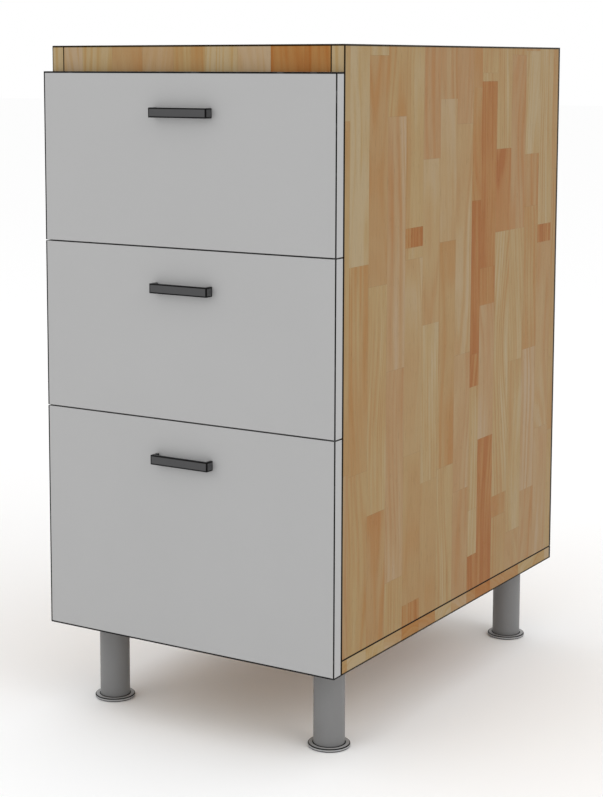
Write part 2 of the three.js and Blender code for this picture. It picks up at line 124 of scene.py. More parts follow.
class Wire:
    """A number on its way through a node tree. Sums and products of wires add Math nodes."""

    def __init__(self, shading: "Shading", socket: bpy.types.NodeSocket) -> None:
        """Wraps one output socket.

        Args:
            shading: The node tree that the socket is in.
            socket: The output that carries the number.
        """
        self.shading = shading
        self.socket = socket

    def __add__(self, other: "Value") -> "Wire":
        """The sum."""
        return self.shading.math("ADD", self, other)

    def __radd__(self, other: "Value") -> "Wire":
        """The sum, with a plain number first."""
        return self.shading.math("ADD", other, self)

    def __sub__(self, other: "Value") -> "Wire":
        """The difference."""
        return self.shading.math("SUBTRACT", self, other)

    def __rsub__(self, other: "Value") -> "Wire":
        """The difference, with a plain number first."""
        return self.shading.math("SUBTRACT", other, self)

    def __mul__(self, other: "Value") -> "Wire":
        """The product."""
        return self.shading.math("MULTIPLY", self, other)

    def __rmul__(self, other: "Value") -> "Wire":
        """The product, with a plain number first."""
        return self.shading.math("MULTIPLY", other, self)

    def __truediv__(self, other: "Value") -> "Wire":
        """The quotient."""
        return self.shading.math("DIVIDE", self, other)

    def __pow__(self, other: "Value") -> "Wire":
        """The power."""
        return self.shading.math("POWER", self, other)

    def __gt__(self, other: "Value") -> "Wire":
        """1 where this is the greater, and otherwise 0."""
        return self.shading.math("GREATER_THAN", self, other)

    def __abs__(self) -> "Wire":
        """The size without its sign."""
        return self.shading.math("ABSOLUTE", self)

    def floor(self) -> "Wire":
        """The whole number below."""
        return self.shading.math("FLOOR", self)

    def sine(self) -> "Wire":
        """The sine."""
        return self.shading.math("SINE", self)

    def least(self, other: "Value") -> "Wire":
        """The smaller of the two."""
        return self.shading.math("MINIMUM", self, other)

    def most(self, other: "Value") -> "Wire":
        """The greater of the two."""
        return self.shading.math("MAXIMUM", self, other)

    def same(self, other: "Value") -> "Wire":
        """1 where the two whole numbers are alike, and otherwise 0."""
        return self.shading.math("COMPARE", self, other, 0.5)

    def rise(self, start: float, end: float) -> "Wire":
        """A smooth rise from 0 at start to 1 at end, or a fall where start is the greater.

        Args:
            start: Where it is 0.
            end: Where it is 1.

        Returns:
            The smooth step.
        """
        if start > end:
            return 1 - self.rise(end, start)
        sockets = {"Value": self, "From Min": start, "From Max": end}
        step = self.shading.node("ShaderNodeMapRange", {"interpolation_type": "SMOOTHSTEP"}, sockets)
        return Wire(self.shading, step.outputs["Result"])


Value = Union[Wire, float]


class Shading:
    """The node tree of one material."""

    def __init__(self, name: str) -> None:
        """Starts an empty material.

        Args:
            name: The material's name.
        """
        self.material = bpy.data.materials.new(name)
        self.material.use_nodes = True
        self.tree = self.material.node_tree
        self.tree.nodes.clear()
        self._coordinates: bpy.types.Node | None = None

    def node(
        self,
        kind: str,
        settings: dict[str, Any] | None = None,
        sockets: dict[str | int, Any] | None = None,
    ) -> bpy.types.Node:
        """Adds any node.

        Args:
            kind: The node's type.
            settings: Its own settings, which come first. A ramp's "stops" are places and colours.
            sockets: Its inputs by name, identifier or number, as values, wires or sockets.

        Returns:
            The new node.
        """
        made = self.tree.nodes.new(kind)
        for name, value in (settings or {}).items():
            if name == "stops":
                self._set_stops(made.color_ramp, value)
            else:
                setattr(made, name, value)
        for key, value in (sockets or {}).items():
            self._feed(self._input(made, key), value)
        return made

    @staticmethod
    def _set_stops(ramp: bpy.types.ColorRamp, stops: Sequence[tuple[float, Rgb]]) -> None:
        """Gives a colour ramp its places and colours.

        Args:
            ramp: The ramp.
            stops: Places and colours, in order.
        """
        while len(ramp.elements) < len(stops):
            ramp.elements.new(1.0)
        for element, (place, colour) in zip(ramp.elements, stops):
            element.position = place
            element.color = (*colour, 1.0)

    @staticmethod
    def _input(node: bpy.types.Node, key: str | int) -> bpy.types.NodeSocket:
        """Finds an input.

        Args:
            node: The node that has it.
            key: Its number, its identifier or its name.

        Returns:
            The input.
        """
        if isinstance(key, int):
            return node.inputs[key]
        by_identifier = [s for s in node.inputs if s.identifier == key]
        return by_identifier[0] if by_identifier else node.inputs[key]

    def _feed(self, socket: bpy.types.NodeSocket, value: Any) -> None:
        """Links an input, or sets it.

        Args:
            socket: The input.
            value: A wire or a socket to link, or else a plain value.
        """
        if isinstance(value, Wire):
            self.tree.links.new(value.socket, socket)
        elif isinstance(value, bpy.types.NodeSocket):
            self.tree.links.new(value, socket)
        elif socket.type == "RGBA" and len(value) == 3:
            socket.default_value = (*value, 1.0)
        else:
            socket.default_value = value

    def math(self, operation: str, *values: Value) -> Wire:
        """Adds a Math node.

        Args:
            operation: What it does.
            *values: Its one to three numbers.

        Returns:
            The result.
        """
        made = self.node("ShaderNodeMath", {"operation": operation}, dict(enumerate(values)))
        return Wire(self, made.outputs["Value"])

    def _coordinate(self, output: str) -> bpy.types.NodeSocket:
        """Finds an output of the one Texture Coordinate node.

        Args:
            output: The output's name.

        Returns:
            The output.
        """
        if self._coordinates is None:
            self._coordinates = self.node("ShaderNodeTexCoord")
        return self._coordinates.outputs[output]

    def split(self, vector: bpy.types.NodeSocket) -> tuple[Wire, Wire, Wire]:
        """The three numbers of a vector."""
        made = self.node("ShaderNodeSeparateXYZ", None, {"Vector": vector})
        return tuple(Wire(self, out) for out in made.outputs)

    def joined(self, x: Value, y: Value, z: Value) -> bpy.types.NodeSocket:
        """The vector of three numbers."""
        made = self.node("ShaderNodeCombineXYZ", None, {"X": x, "Y": y, "Z": z})
        return made.outputs["Vector"]

    def place(self) -> tuple[Wire, Wire, Wire]:
        """The place of a point on the piece, in metres."""
        return self.split(self._coordinate("Object"))

    def facing(self) -> tuple[Wire, Wire, Wire]:
        """The direction that a point on the piece faces."""
        return self.split(self._coordinate("Normal"))

    def noise(self, vector: bpy.types.NodeSocket, scale: float, detail: float = 2.0) -> Wire:
        """Soft random waves.

        Args:
            vector: Where the noise is read.
            scale: Waves per unit of that vector.
            detail: How many finer layers lie over the first.

        Returns:
            The noise, 0 to 1.
        """
        sockets = {"Vector": vector, "Scale": scale, "Detail": detail}
        return Wire(self, self.node("ShaderNodeTexNoise", None, sockets).outputs["Fac"])

    def luck(self, number: Wire) -> Wire:
        """A random number, 0 to 1, that is the same wherever `number` is."""
        made = self.node("ShaderNodeTexWhiteNoise", {"noise_dimensions": "1D"}, {"W": number})
        return Wire(self, made.outputs["Value"])

    def lengths(self, along: Wire) -> tuple[Wire, Wire, Wire]:
        """Cuts a line into random lengths, of 1 on average.

        Args:
            along: The place on the line.

        Returns:
            Two random numbers of the length that the place is in, and how far its end is.
        """
        kind = {"voronoi_dimensions": "1D"}
        sockets = {"W": along, "Scale": 1.0}
        cell = self.node("ShaderNodeTexVoronoi", kind, sockets)
        border = self.node("ShaderNodeTexVoronoi", {**kind, "feature": "DISTANCE_TO_EDGE"}, sockets)
        shares = self.node("ShaderNodeSeparateColor", None, {"Color": cell.outputs["Color"]})
        first, second = (Wire(self, shares.outputs[name]) for name in ("Red", "Green"))
        return first, second, Wire(self, border.outputs["Distance"])

    def blend(self, mask: Value, first: Value, second: Value) -> Wire:
        """Goes from one number to another.

        Args:
            mask: The second number's share, 0 to 1.
            first: The number where the mask is 0.
            second: The number where it is 1.

        Returns:
            The mixed number.
        """
        sockets = {"Factor_Float": mask, "A_Float": first, "B_Float": second}
        made = self.node("ShaderNodeMix", {"data_type": "FLOAT"}, sockets)
        return Wire(self, made.outputs["Result"])

    def tint(self, mask: Value, first: Any, second: Any, mode: str = "MIX") -> bpy.types.NodeSocket:
        """Mixes two colours.

        Args:
            mask: The second colour's share.
            first: The colour below.
            second: The colour above.
            mode: How the second goes over the first.

        Returns:
            The mixed colour.
        """
        settings = {"data_type": "RGBA", "blend_type": mode}
        sockets = {"Factor_Float": mask, "A_Color": first, "B_Color": second}
        made = self.node("ShaderNodeMix", settings, sockets)
        return next(out for out in made.outputs if out.identifier == "Result_Color")

    def shaded(self, colour: Any, light: Wire) -> bpy.types.NodeSocket:
        """A colour made lighter or darker by a number."""
        return self.tint(1.0, colour, light.socket, "MULTIPLY")

    def ramp(self, value: Wire, stops: Sequence[tuple[float, Rgb]]) -> bpy.types.NodeSocket:
        """The colour at a value on a row of colours."""
        return self.node("ShaderNodeValToRGB", {"stops": stops}, {"Fac": value}).outputs["Color"]

    def bump(self, height: Wire, distance: float, strength: float = 1.0) -> bpy.types.NodeSocket:
        """A relief.

        Args:
            height: The relief, 0 to 1.
            distance: How high 1 is, in metres.
            strength: The share of it that shows.

        Returns:
            The bumped normal.
        """
        sockets = {"Height": height, "Distance": distance, "Strength": strength}
        return self.node("ShaderNodeBump", None, sockets).outputs["Normal"]

    def arris(self, box: Box, reach: float, widths: EdgeWidths | None = None) -> Wire:
        """The edges of a rectangular board.

        Args:
            box: The board's lowest and highest corner.
            reach: How far the mask reaches from an edge.
            widths: How far it reaches from the ends of the box where that differs.

        Returns:
            A mask that is 1 at an edge and 0 from the reach on.
        """
        near = []
        for axis, place in zip(Axis, self.place()):
            at_low, at_high = ((widths or {}).get((axis, end), reach) for end in End)
            low, high = (corner[axis.value] for corner in box)
            near.append(((place - low) / at_low).least((high - place) / at_high))
        first, second, third = near
        second_nearest = first.least(second).most(first.most(second).least(third))
        return second_nearest.rise(1.0, 0.7)

    def finish(self, colour: Any, roughness: Any, **others: Any) -> bpy.types.Material:
        """Ends the tree in its shader.

        Args:
            colour: The base colour.
            roughness: The roughness.
            **others: Further inputs by name, with _ for a space.

        Returns:
            The material.
        """
        sockets = {name.replace("_", " "): value for name, value in others.items()}
        shader = self.node(
            "ShaderNodeBsdfPrincipled",
            None,
            {"Base Color": colour, "Roughness": roughness, **sockets},
        )
        self.node("ShaderNodeOutputMaterial", None, {"Surface": shader.outputs["BSDF"]})
        return self.material


# ---- Finishes ----------------------------------------------------------------------------------


@dataclass(frozen=True)
class Block:
    """One length of timber in a stave board whose place is given.

    Attributes:
        column: The stave that it is in, counted from the board's low side.
        start: Its lower end, from the board's low end.
        end: Its upper end.
        tone: Its place on the timber's row of colours, 0 to 1.
    """

    column: int
    start: float
    end: float
    tone: float


@dataclass(frozen=True)
class Layout:
    """How the staves of one board lie.

    Attributes:
        first_stave: Width of the first stave that shows.
        narrow_at: Where one stave, which is cut narrower, ends.
        narrowed: How much is missing from that stave.
        blocks: The blocks whose places are given.
    """

    first_stave: float = 0.0
    narrow_at: float = 9.0
    narrowed: float = 0.0
    blocks: Sequence[Block] = ()


@dataclass(frozen=True)
class Spot:
    """Where a point of a board is, as the board's shader works it out.

    Attributes:
        along: From the board's low end, along the grain.
        across: From its low side, across the grain.
        depth: From its low face, through its thickness.
        column: Which stave it is in.
        within: From the middle of that stave.
        tone: Its block's place on the row of colours.
        key: Its block's own random number, 0 to 1.
        joint: How far the nearest glue joint is.
    """

    along: Wire
    across: Wire
    depth: Wire
    column: Wire
    within: Wire
    tone: Wire
    key: Wire
    joint: Wire


@dataclass(frozen=True)
class Timber:
    """Sawn and lacquered timber, in one piece or glued up from staves.

    Attributes:
        tones: The row of colours, from the palest to the darkest.
        stave: Width of a stave.
        length: Average length of a block in a stave.
        palest: The palest block's place on the row.
        spread: How far the blocks' tones go from there.
        streaks: How much a block's own streaks move its tone.
        blush: How far some blocks differ in hue.
        blush_colour: What their colour is multiplied by.
        ring: Distance between growth rings.
        rings: How much the growth rings show.
        pores: How much the pores show.
        glue: Width of a glue joint, on each side.
        arris: Width of the dark line along an edge, which is painted shade where boards meet and a drawn
            outline elsewhere.
        arris_tone: What is left of the colour in that line.
        outlined: Whether that line is as dark as a drawn one.
        painted_front_light: Painted light: how much paler the faces that look to the front are made.
        end_light: How much lighter the end grain is, or darker where it is below 0.
    """

    tones: Sequence[tuple[float, Rgb]]
    stave: float = 43.5 * MM
    length: float = 260 * MM
    palest: float = 0.25
    spread: float = 0.32
    streaks: float = 0.95
    blush: float = 0.8
    blush_colour: Rgb = (1.0, 0.94, 1.06)
    ring: float = 6.5 * MM
    rings: float = 0.3
    pores: float = 0.16
    glue: float = 0.35 * MM
    arris: float = 1.6 * MM
    arris_tone: float = 0.06
    outlined: bool = True
    painted_front_light: float = 0.0
    end_light: float = -0.14

    def _spot(self, shading: Shading, box: Box, grain: Axis, seed: float, layout: Layout) -> Spot:
        """Finds the stave and the block that a point is in.

        Args:
            shading: The board's shader.
            box: The board's lowest and highest corner.
            grain: The direction that its grain runs in.
            seed: What tells this board's pattern from the others.
            layout: How its staves lie.

        Returns:
            The point's place in the timber.
        """
        low, high = box
        places = [place - start for place, start in zip(shading.place(), low)]
        others = [axis.value for axis in Axis if axis is not grain]
        others.sort(key=lambda i: low[i] - high[i])
        along = places[grain.value]
        across, depth = (places[i] for i in others)

        missing = (across > layout.narrow_at) * layout.narrowed
        stave = (across + missing + (self.stave - layout.first_stave)) / self.stave
        column = stave.floor()
        travel = along / self.length + column * 7.3 + shading.luck(column + seed) * 5
        tone, key, end = shading.lengths(travel)
        tone, end = tone ** 1.6 * self.spread + self.palest, end * self.length
        for block in layout.blocks:
            to_end = (along - block.start).least(block.end - along)
            inside = column.same(block.column) * (to_end > 0)
            tone = shading.blend(inside, tone, block.tone)
            key = shading.blend(inside, key, (block.tone * 7.7 + block.start * 3.1) % 1)
            end = shading.blend(inside, end, to_end)
        within = (stave - column - 0.5) * self.stave
        joint = end.least(self.stave / 2 - abs(within))
        return Spot(along, across, depth, column, within, tone, key, joint)

    def _figure(self, shading: Shading, spot: Spot) -> tuple[Wire, Wire]:
        """Draws the growth rings, from each block's own place in its log.

        Args:
            shading: The board's shader.
            spot: The point's place in the timber.

        Returns:
            How much a ring moves the tone, and the streaks that follow the rings, 0 to 1.
        """
        along, across, depth, key = spot.along, spot.across, spot.depth, spot.key
        # The pith lies beside the stave and behind it, and leans away from the grain.
        sideways = spot.within + (key - 0.5) * 110 * MM
        behind = depth + key * 60 * MM + 8 * MM
        lean = shading.noise(shading.joined(key * 50, along * 2.4, spot.column), 1.0, 1.0) * 60 * MM
        radius = (sideways * sideways + behind * behind) ** 0.5 + lean
        warp = shading.noise(shading.joined(across + key * 9, along * 0.05, depth), 60.0, 3.0)
        years = shading.noise(shading.joined(radius, key, 0.5), 45.0, 2.0)
        rings = ((radius / self.ring + years * 3.5 + warp * 1.4) * math.tau).sine() * 0.5 + 0.5
        shown = shading.noise(shading.joined(across * 12 + key * 40, along * 3, key), 1.0, 2.0)
        figure = (rings ** 1.8 - 0.4) * shown.rise(0.3, 0.7) * self.rings
        streak = shading.joined(radius + key * 9, along * 0.08, depth * 0.4)
        return figure, shading.noise(streak, 75.0, 3.0)

    def board(
        self,
        name: str,
        box: Box,
        grain: Axis,
        seed: float,
        layout: Layout = Layout(),
        widths: EdgeWidths | None = None,
    ) -> bpy.types.Material:
        """Finishes one board.

        Args:
            name: The material's name.
            box: The board's lowest and highest corner.
            grain: The direction that its grain runs in.
            seed: What tells this board's pattern from the others.
            layout: How its staves lie.
            widths: The edge line's widths beside the ends of the box where they differ.

        Returns:
            The material.
        """
        shading = Shading(name)
        spot = self._spot(shading, box, grain, seed, layout)
        along, across, depth, key = spot.along, spot.across, spot.depth, spot.key
        figure, streak = self._figure(shading, spot)
        facing = shading.facing()
        ends = abs(facing[grain.value]).rise(0.6, 0.8)
        # Painted light: the faces that look to the front are made paler, in tone and in brightness.
        painted_front_light = facing[Axis.Y.value].rise(-0.6, -0.8) * self.painted_front_light
        tone = spot.tone + (streak - 0.5) * self.streaks + figure * (1 - ends * 0.5) - painted_front_light
        colour = shading.ramp(tone, self.tones)
        blushing = key.rise(0.35, 0.9) * self.blush
        colour = shading.tint(blushing, colour, self.blush_colour, "MULTIPLY")

        fine = shading.noise(shading.joined(across + key * 9, along * 0.02, depth), 900.0, 2.0)
        pore = shading.noise(shading.joined(across + key * 5, along * 0.045, depth), 1500.0, 1.0)
        pore = pore.rise(0.62, 0.74)
        glue = spot.joint.rise(self.glue, 0.1 * MM)
        # The dark edge line: painted shade where boards meet, and a drawn outline on the outer edges.
        edge = shading.arris(box, self.arris, widths)
        light = 1.03 - (fine - 0.5) * 0.16 - pore * self.pores - glue * 0.16 + ends * self.end_light
        light = (light + painted_front_light) * (1 - edge * (1 - self.arris_tone))
        roughness = 0.5 + (fine - 0.5) * 0.16 + pore * 0.12 + ends * 0.12
        # A dark metal mirrors next to nothing, so the edge line, painted shade where boards meet and a
        # drawn outline elsewhere, stays dark in the white room.
        return shading.finish(
            shading.shaded(colour, light),
            roughness,
            Metallic=edge if self.outlined else 0.0,
            Normal=shading.bump(fine * 0.4 - pore - glue * 0.6, 0.12 * MM, 0.35),
            Specular_IOR_Level=0.25,
        )


@dataclass(frozen=True)
class Lacquer:
    """Matt sprayed lacquer on a flat board, with a fine dark line along its edges: painted shade beside the
    gap between fronts, and a drawn outline elsewhere.

    Attributes:
        colour: The lacquer's colour.
        line: The line's colour.
        line_width: The line's width, on each side of an edge.
        roughness: How matt it is.
    """

    colour: Rgb
    line: Rgb
    line_width: float = 1.4 * MM
    roughness: float = 0.62

    def board(self, name: str, box: Box, widths: EdgeWidths) -> bpy.types.Material:
        """Finishes one board.

        Args:
            name: The material's name.
            box: The board's lowest and highest corner.
            widths: The line's widths beside the board's ends where they differ.

        Returns:
            The material.
        """
        shading = Shading(name)
        place = shading.joined(*shading.place())
        peel = shading.noise(place, 1100.0, 2.0)
        cloud = shading.noise(place, 9.0, 3.0)
        handled = shading.noise(place, 70.0, 4.0)
        edge = shading.arris(box, self.line_width, widths)
        # The dark edge line, painted shade beside the gap between fronts and a drawn outline elsewhere, is
        # varied a little by handling marks.
        edge_line_shade = edge * (handled.rise(0.2, 0.45) * 0.15 + 0.85)
        light = 1 + (cloud - 0.5) * 0.05 + (peel - 0.5) * 0.035
        colour = shading.tint(edge_line_shade, shading.shaded(self.colour, light), self.line)
        roughness = self.roughness + (cloud - 0.5) * 0.12 + (handled - 0.5) * 0.1
        bumped = shading.bump(peel, 0.05 * MM, 0.4)
        return shading.finish(colour, roughness, Metallic=edge_line_shade, Normal=bumped, Specular_IOR_Level=0.3)


@dataclass(frozen=True)
class Coat:
    """A smooth or textured skin: powder coat, moulded plastic or felt.

    Attributes:
        colour: The skin's colour.
        roughness: How matt it is.
        grain: Grains per metre of its texture.
        relief: Height of the texture.
        mottle: How much the colour varies.
        metallic: 1 on bare metal.
        specular: The strength of its reflection.
        edge: The colour along the edges of a bar.
        edge_width: How far that colour reaches from an edge.
    """

    colour: Rgb
    roughness: float
    grain: float = 1600.0
    relief: float = 0.06 * MM
    mottle: float = 0.08
    metallic: float = 0.0
    specular: float = 0.4
    edge: Rgb = (0.01, 0.01, 0.01)
    edge_width: float = 1.8 * MM

    def skin(self, name: str, bar: Box | None = None) -> bpy.types.Material:
        """Makes the material.

        Args:
            name: The material's name.
            bar: The lowest and highest corner of a bar whose edges are darker.

        Returns:
            The material.
        """
        shading = Shading(name)
        place = shading.joined(*shading.place())
        grain = shading.noise(place, self.grain, 2.0)
        cloud = shading.noise(place, 40.0, 3.0)
        rubbed = shading.noise(place, 260.0, 3.0).rise(0.55, 0.75)
        uneven = (cloud - 0.5) * 2 + (grain - 0.5) + rubbed * 0.4
        roughness = self.roughness + (cloud - 0.5) * 0.14 - rubbed * 0.06
        colour = shading.shaded(self.colour, 1 + uneven * self.mottle)
        metallic = self.metallic
        if bar:
            metallic = shading.arris(bar, self.edge_width)
            colour = shading.tint(metallic, colour, self.edge)
        return shading.finish(
            colour,
            roughness,
            Metallic=metallic,
            Specular_IOR_Level=self.specular,
            Normal=shading.bump(grain, self.relief, 0.5),
        )


@dataclass(frozen=True)
class Zinc:
    """Zinc-plated sheet steel, rolled along one direction.

    Attributes:
        bright: The plating where it is fresh.
        dull: The plating where it has dulled.
        rolled: The direction of its rolling marks.
    """

    bright: Rgb = screen_colour(206, 208, 211)
    dull: Rgb = screen_colour(178, 181, 187)
    rolled: Axis = Axis.Y

    def skin(self, name: str) -> bpy.types.Material:
        """Makes the material.

        Args:
            name: The material's name.

        Returns:
            The material.
        """
        shading = Shading(name)
        places = list(shading.place())
        flat = shading.joined(*places)
        places[self.rolled.value] = places[self.rolled.value] * 0.02
        lines = shading.noise(shading.joined(*places), 1800.0, 3.0)
        cloud = shading.noise(flat, 28.0, 5.0)
        spots = shading.noise(flat, 420.0, 2.0)
        colour = shading.tint(cloud.rise(0.2, 0.8), self.bright, self.dull)
        light = 1 + (lines - 0.5) * 0.2 + (spots - 0.5) * 0.08
        roughness = 0.36 + (cloud - 0.5) * 0.14 + (lines - 0.5) * 0.2
        bumped = shading.bump(lines, 0.03 * MM, 0.5)
        return shading.finish(shading.shaded(colour, light), roughness, Metallic=1.0, Normal=bumped)


@dataclass(frozen=True)
class Fibreboard:
    """Thin pressed fibreboard.

    Attributes:
        pale: The paler fibres.
        dark: The darker fibres.
    """

    pale: Rgb = screen_colour(190, 163, 124)
    dark: Rgb = screen_colour(150, 118, 80)

    def skin(self, name: str) -> bpy.types.Material:
        """Makes the material.

        Args:
            name: The material's name.

        Returns:
            The material.
        """
        shading = Shading(name)
        place = shading.joined(*shading.place())
        fibres = shading.noise(place, 750.0, 5.0)
        cloud = shading.noise(place, 14.0, 4.0)
        specks = shading.noise(place, 320.0, 2.0).rise(0.66, 0.74)
        share = (fibres.rise(0.3, 0.7) * 0.6 + cloud.rise(0.2, 0.8) * 0.3 + specks * 0.5).least(1.0)
        colour = shading.tint(share, self.pale, self.dark)
        roughness = 0.72 + (fibres - 0.5) * 0.2
        bumped = shading.bump(fibres, 0.08 * MM, 0.5)
        return shading.finish(colour, roughness, Normal=bumped, Specular_IOR_Level=0.25)


# The carcass timber, from its palest blocks to its darkest, as the photograph shows them.
STAVE_TONES = (
    (0.0, screen_colour(150, 131, 98)),
    (0.22, screen_colour(146, 121, 79)),
    (0.42, screen_colour(143, 112, 68)),
    (0.62, screen_colour(142, 103, 53)),
    (0.82, screen_colour(140, 94, 41)),
    (1.0, screen_colour(134, 79, 18)),
)
BOX_TONES = (
    (0.0, screen_colour(214, 190, 148)),
    (0.5, screen_colour(202, 172, 128)),
    (1.0, screen_colour(178, 140, 92)),
)

# The carcass boards' faces that look to the front get painted light.
STAVE_BOARD = Timber(STAVE_TONES, painted_front_light=0.15, end_light=0.05)
BOX_TIMBER = Timber(
    BOX_TONES,
    stave=0.5,
    length=5.0,
    palest=0.1,
    spread=0.3,
    streaks=0.7,
    ring=4.5 * MM,
    rings=0.5,
    pores=0.05,
    arris=0.6 * MM,
    arris_tone=0.75,
    outlined=False,
)
HANDLE_COAT = Coat(screen_colour(64, 64, 65), 0.5, specular=0.3)
HANDLE_EDGE = Coat(screen_colour(22, 22, 23), 0.45, metallic=1.0)
LEG_COAT = Coat(screen_colour(119, 119, 119), 0.5, mottle=0.05)
FOOT_PLASTIC = Coat(screen_colour(157, 157, 157), 0.55, grain=2200.0, relief=0.04 * MM)
# Near black for the foot's rims, as a drawn outline, and for the painted shade round the tube.
FOOT_OUTLINE_AND_SHADE = Coat(screen_colour(20, 20, 20), 0.6, metallic=1.0)
FELT = Coat(screen_colour(200, 198, 192), 0.95, grain=3500.0, relief=0.25 * MM)
BALL_STEEL = Coat(screen_colour(190, 192, 196), 0.16, mottle=0.04, metallic=1.0)
# The screw recesses are painted dark, as painted shade.
RECESS_SHADE = Coat(screen_colour(60, 60, 62), 0.5, metallic=1.0)
FRONT_LACQUER = Lacquer(screen_colour(166, 166, 166), screen_colour(24, 24, 24))


class Finishes:
    """The finishes that many pieces share, each made once."""

    def __init__(self) -> None:
        """Makes the shared materials."""
        self.handle_edge = HANDLE_EDGE.skin("handle_edge_coat")
        self.leg = LEG_COAT.skin("leg_powder_coat")
        self.foot = FOOT_PLASTIC.skin("foot_plastic")
        self.foot_outline_and_shade = FOOT_OUTLINE_AND_SHADE.skin("foot_edge_plastic")
        self.felt = FELT.skin("bumper_felt")
        self.zinc = Zinc().skin("runner_zinc")
        self.screw = Zinc(rolled=Axis.X).skin("screw_zinc")
        self.ball = BALL_STEEL.skin("ball_steel")
        self.recess = RECESS_SHADE.skin("screw_recess")
        self.fibre = Fibreboard().skin("fibreboard")


# ---- Modelling by hand -------------------------------------------------------------------------


@dataclass
class Piece:
    """A new mesh that is shaped step by step.

    Attributes:
        object: The object that has the mesh.
    """

    object: bpy.types.Object

    @classmethod
    def added(cls, name: str, primitive: Callable[..., Any], **options: Any) -> "Piece":
        """Adds a primitive at its size and place.

        Args:
            name: The piece's name.
            primitive: The operator that adds it.
            **options: The operator's options.

        Returns:
            The new piece.
        """
        bpy.ops.object.select_all(action="DESELECT")
        primitive(**options)
        made = cls(bpy.context.active_object)._named(name)
        bpy.ops.object.transform_apply(location=True, rotation=True, scale=True)
        return made

    def _named(self, name: str) -> "Piece":
        """Names the object and its mesh.

        Args:
            name: Their name.

        Returns:
            This piece.
        """
        self.object.name = name
        self.object.data.name = name
        return self

    def _alone(self) -> None:
        """Selects this piece alone, and makes it the active one."""
        bpy.ops.object.select_all(action="DESELECT")
        bpy.context.view_layer.objects.active = self.object
        self.object.select_set(True)

    @classmethod
    def block(cls, name: str, low: Sequence[float], high: Sequence[float]) -> "Piece":
        """Makes a rectangular block.

        Args:
            name: The piece's name.
            low: Its lowest corner.
            high: Its highest corner.

        Returns:
            The new piece.
        """
        centre = [(a + b) / 2 for a, b in zip(low, high)]
        size = [b - a for a, b in zip(low, high)]
        return cls.added(name, bpy.ops.mesh.primitive_cube_add, size=1, location=centre, scale=size)

    @classmethod
    def turned(
        cls,
        name: str,
        centre: Sequence[float],
        profile: Sequence[Ring],
        steps: int = 64,
        hollow: bool = False,
    ) -> "Piece":
        """Makes a form that is turned about a vertical line, and drawn out ring by ring.

        Args:
            name: The piece's name.
            centre: The foot of that line.
            profile: The rings, in order, with their heights from that foot.
            steps: Points round a ring.
            hollow: Whether the last ring is joined to the first, which leaves a bore.

        Returns:
            The new piece.
        """
        radius, height = profile[0]
        x, y, z = centre
        made = cls.added(
            name,
            bpy.ops.mesh.primitive_circle_add,
            vertices=steps,
            radius=radius,
            fill_type="NOTHING" if hollow else "NGON",
            location=(x, y, z + height),
        )
        with made.editing():
            bpy.ops.mesh.select_all(action="SELECT")
            for wider, higher in profile[1:]:
                bpy.ops.mesh.extrude_region_move(TRANSFORM_OT_translate={"value": (0, 0, higher - height)})
                spread = (wider / radius, wider / radius, 1)
                bpy.ops.transform.resize(value=spread, center_override=(x, y, z + higher))
                radius, height = wider, higher
            if hollow:
                made.pick_edges(lambda edge: edge.is_boundary)
                bpy.ops.mesh.bridge_edge_loops()
            bpy.ops.mesh.select_all(action="SELECT")
            bpy.ops.mesh.normals_make_consistent(inside=False)
        return made

    @classmethod
    def sheet(cls, name: str, path: Sequence[Corner], length: float, thickness: float) -> "Piece":
        """Bends sheet: a strip is drawn along a path in X and Z, and thickened to both sides.

        Args:
            name: The piece's name.
            path: The section's points, at the middle of the sheet.
            length: How far the strip runs back along +Y.
            thickness: The sheet's thickness.

        Returns:
            The new piece.
        """
        (x, z), (next_x, next_z) = path[:2]
        run, climb = next_x - x, next_z - z
        plane = {"size": length, "location": (0, length / 2, 0)}
        strip = cls.added(name, bpy.ops.mesh.primitive_plane_add, **plane)
        with strip.editing():
            bpy.ops.mesh.select_all(action="SELECT")
            share = math.hypot(run, climb) / length
            bpy.ops.transform.resize(value=(share, 1, 1), center_override=(0, 0, 0))
            turn_up = {"value": math.atan2(climb, run), "orient_axis": "Y"}
            bpy.ops.transform.rotate(**turn_up, center_override=(0, 0, 0))
            bpy.ops.transform.translate(value=(x + run / 2, 0, z + climb / 2))
            strip.pick_edges(lambda edge: all(strip._is_at(v, next_x, next_z) for v in edge.verts))
            for (x, z), (next_x, next_z) in zip(path[1:], path[2:]):
                step = (next_x - x, 0, next_z - z)
                bpy.ops.mesh.extrude_region_move(TRANSFORM_OT_translate={"value": step})
        return strip.modified("SOLIDIFY", thickness=thickness, offset=0, use_even_offset=True)

    @staticmethod
    def _is_at(corner: bmesh.types.BMVert, x: float, z: float) -> bool:
        """Whether a corner is at a place in X and Z."""
        return math.hypot(corner.co.x - x, corner.co.z - z) < HAIR

    @contextmanager
    def editing(self) -> Iterator[None]:
        """Opens this piece alone in edit mode, and closes it afterwards.

        Yields:
            Nothing, while edit mode is on.
        """
        self._alone()
        bpy.ops.object.mode_set(mode="EDIT")
        yield
        bpy.ops.object.mode_set(mode="OBJECT")

    def _pick(self, mode: str, rule: Callable[[Any], bool]) -> None:
        """Selects faces or edges, and nothing else.

        Args:
            mode: "FACE" or "EDGE".
            rule: Says of each of them whether it is selected.
        """
        bpy.ops.mesh.select_mode(type=mode)
        bpy.ops.mesh.select_all(action="DESELECT")
        mesh = bmesh.from_edit_mesh(self.object.data)
        for element in mesh.faces if mode == "FACE" else mesh.edges:
            if rule(element):
                element.select_set(True)
        bmesh.update_edit_mesh(self.object.data)

    def pick_faces(self, rule: Callable[[bmesh.types.BMFace], bool]) -> None:
        """Selects the faces that the rule names."""
        self._pick("FACE", rule)

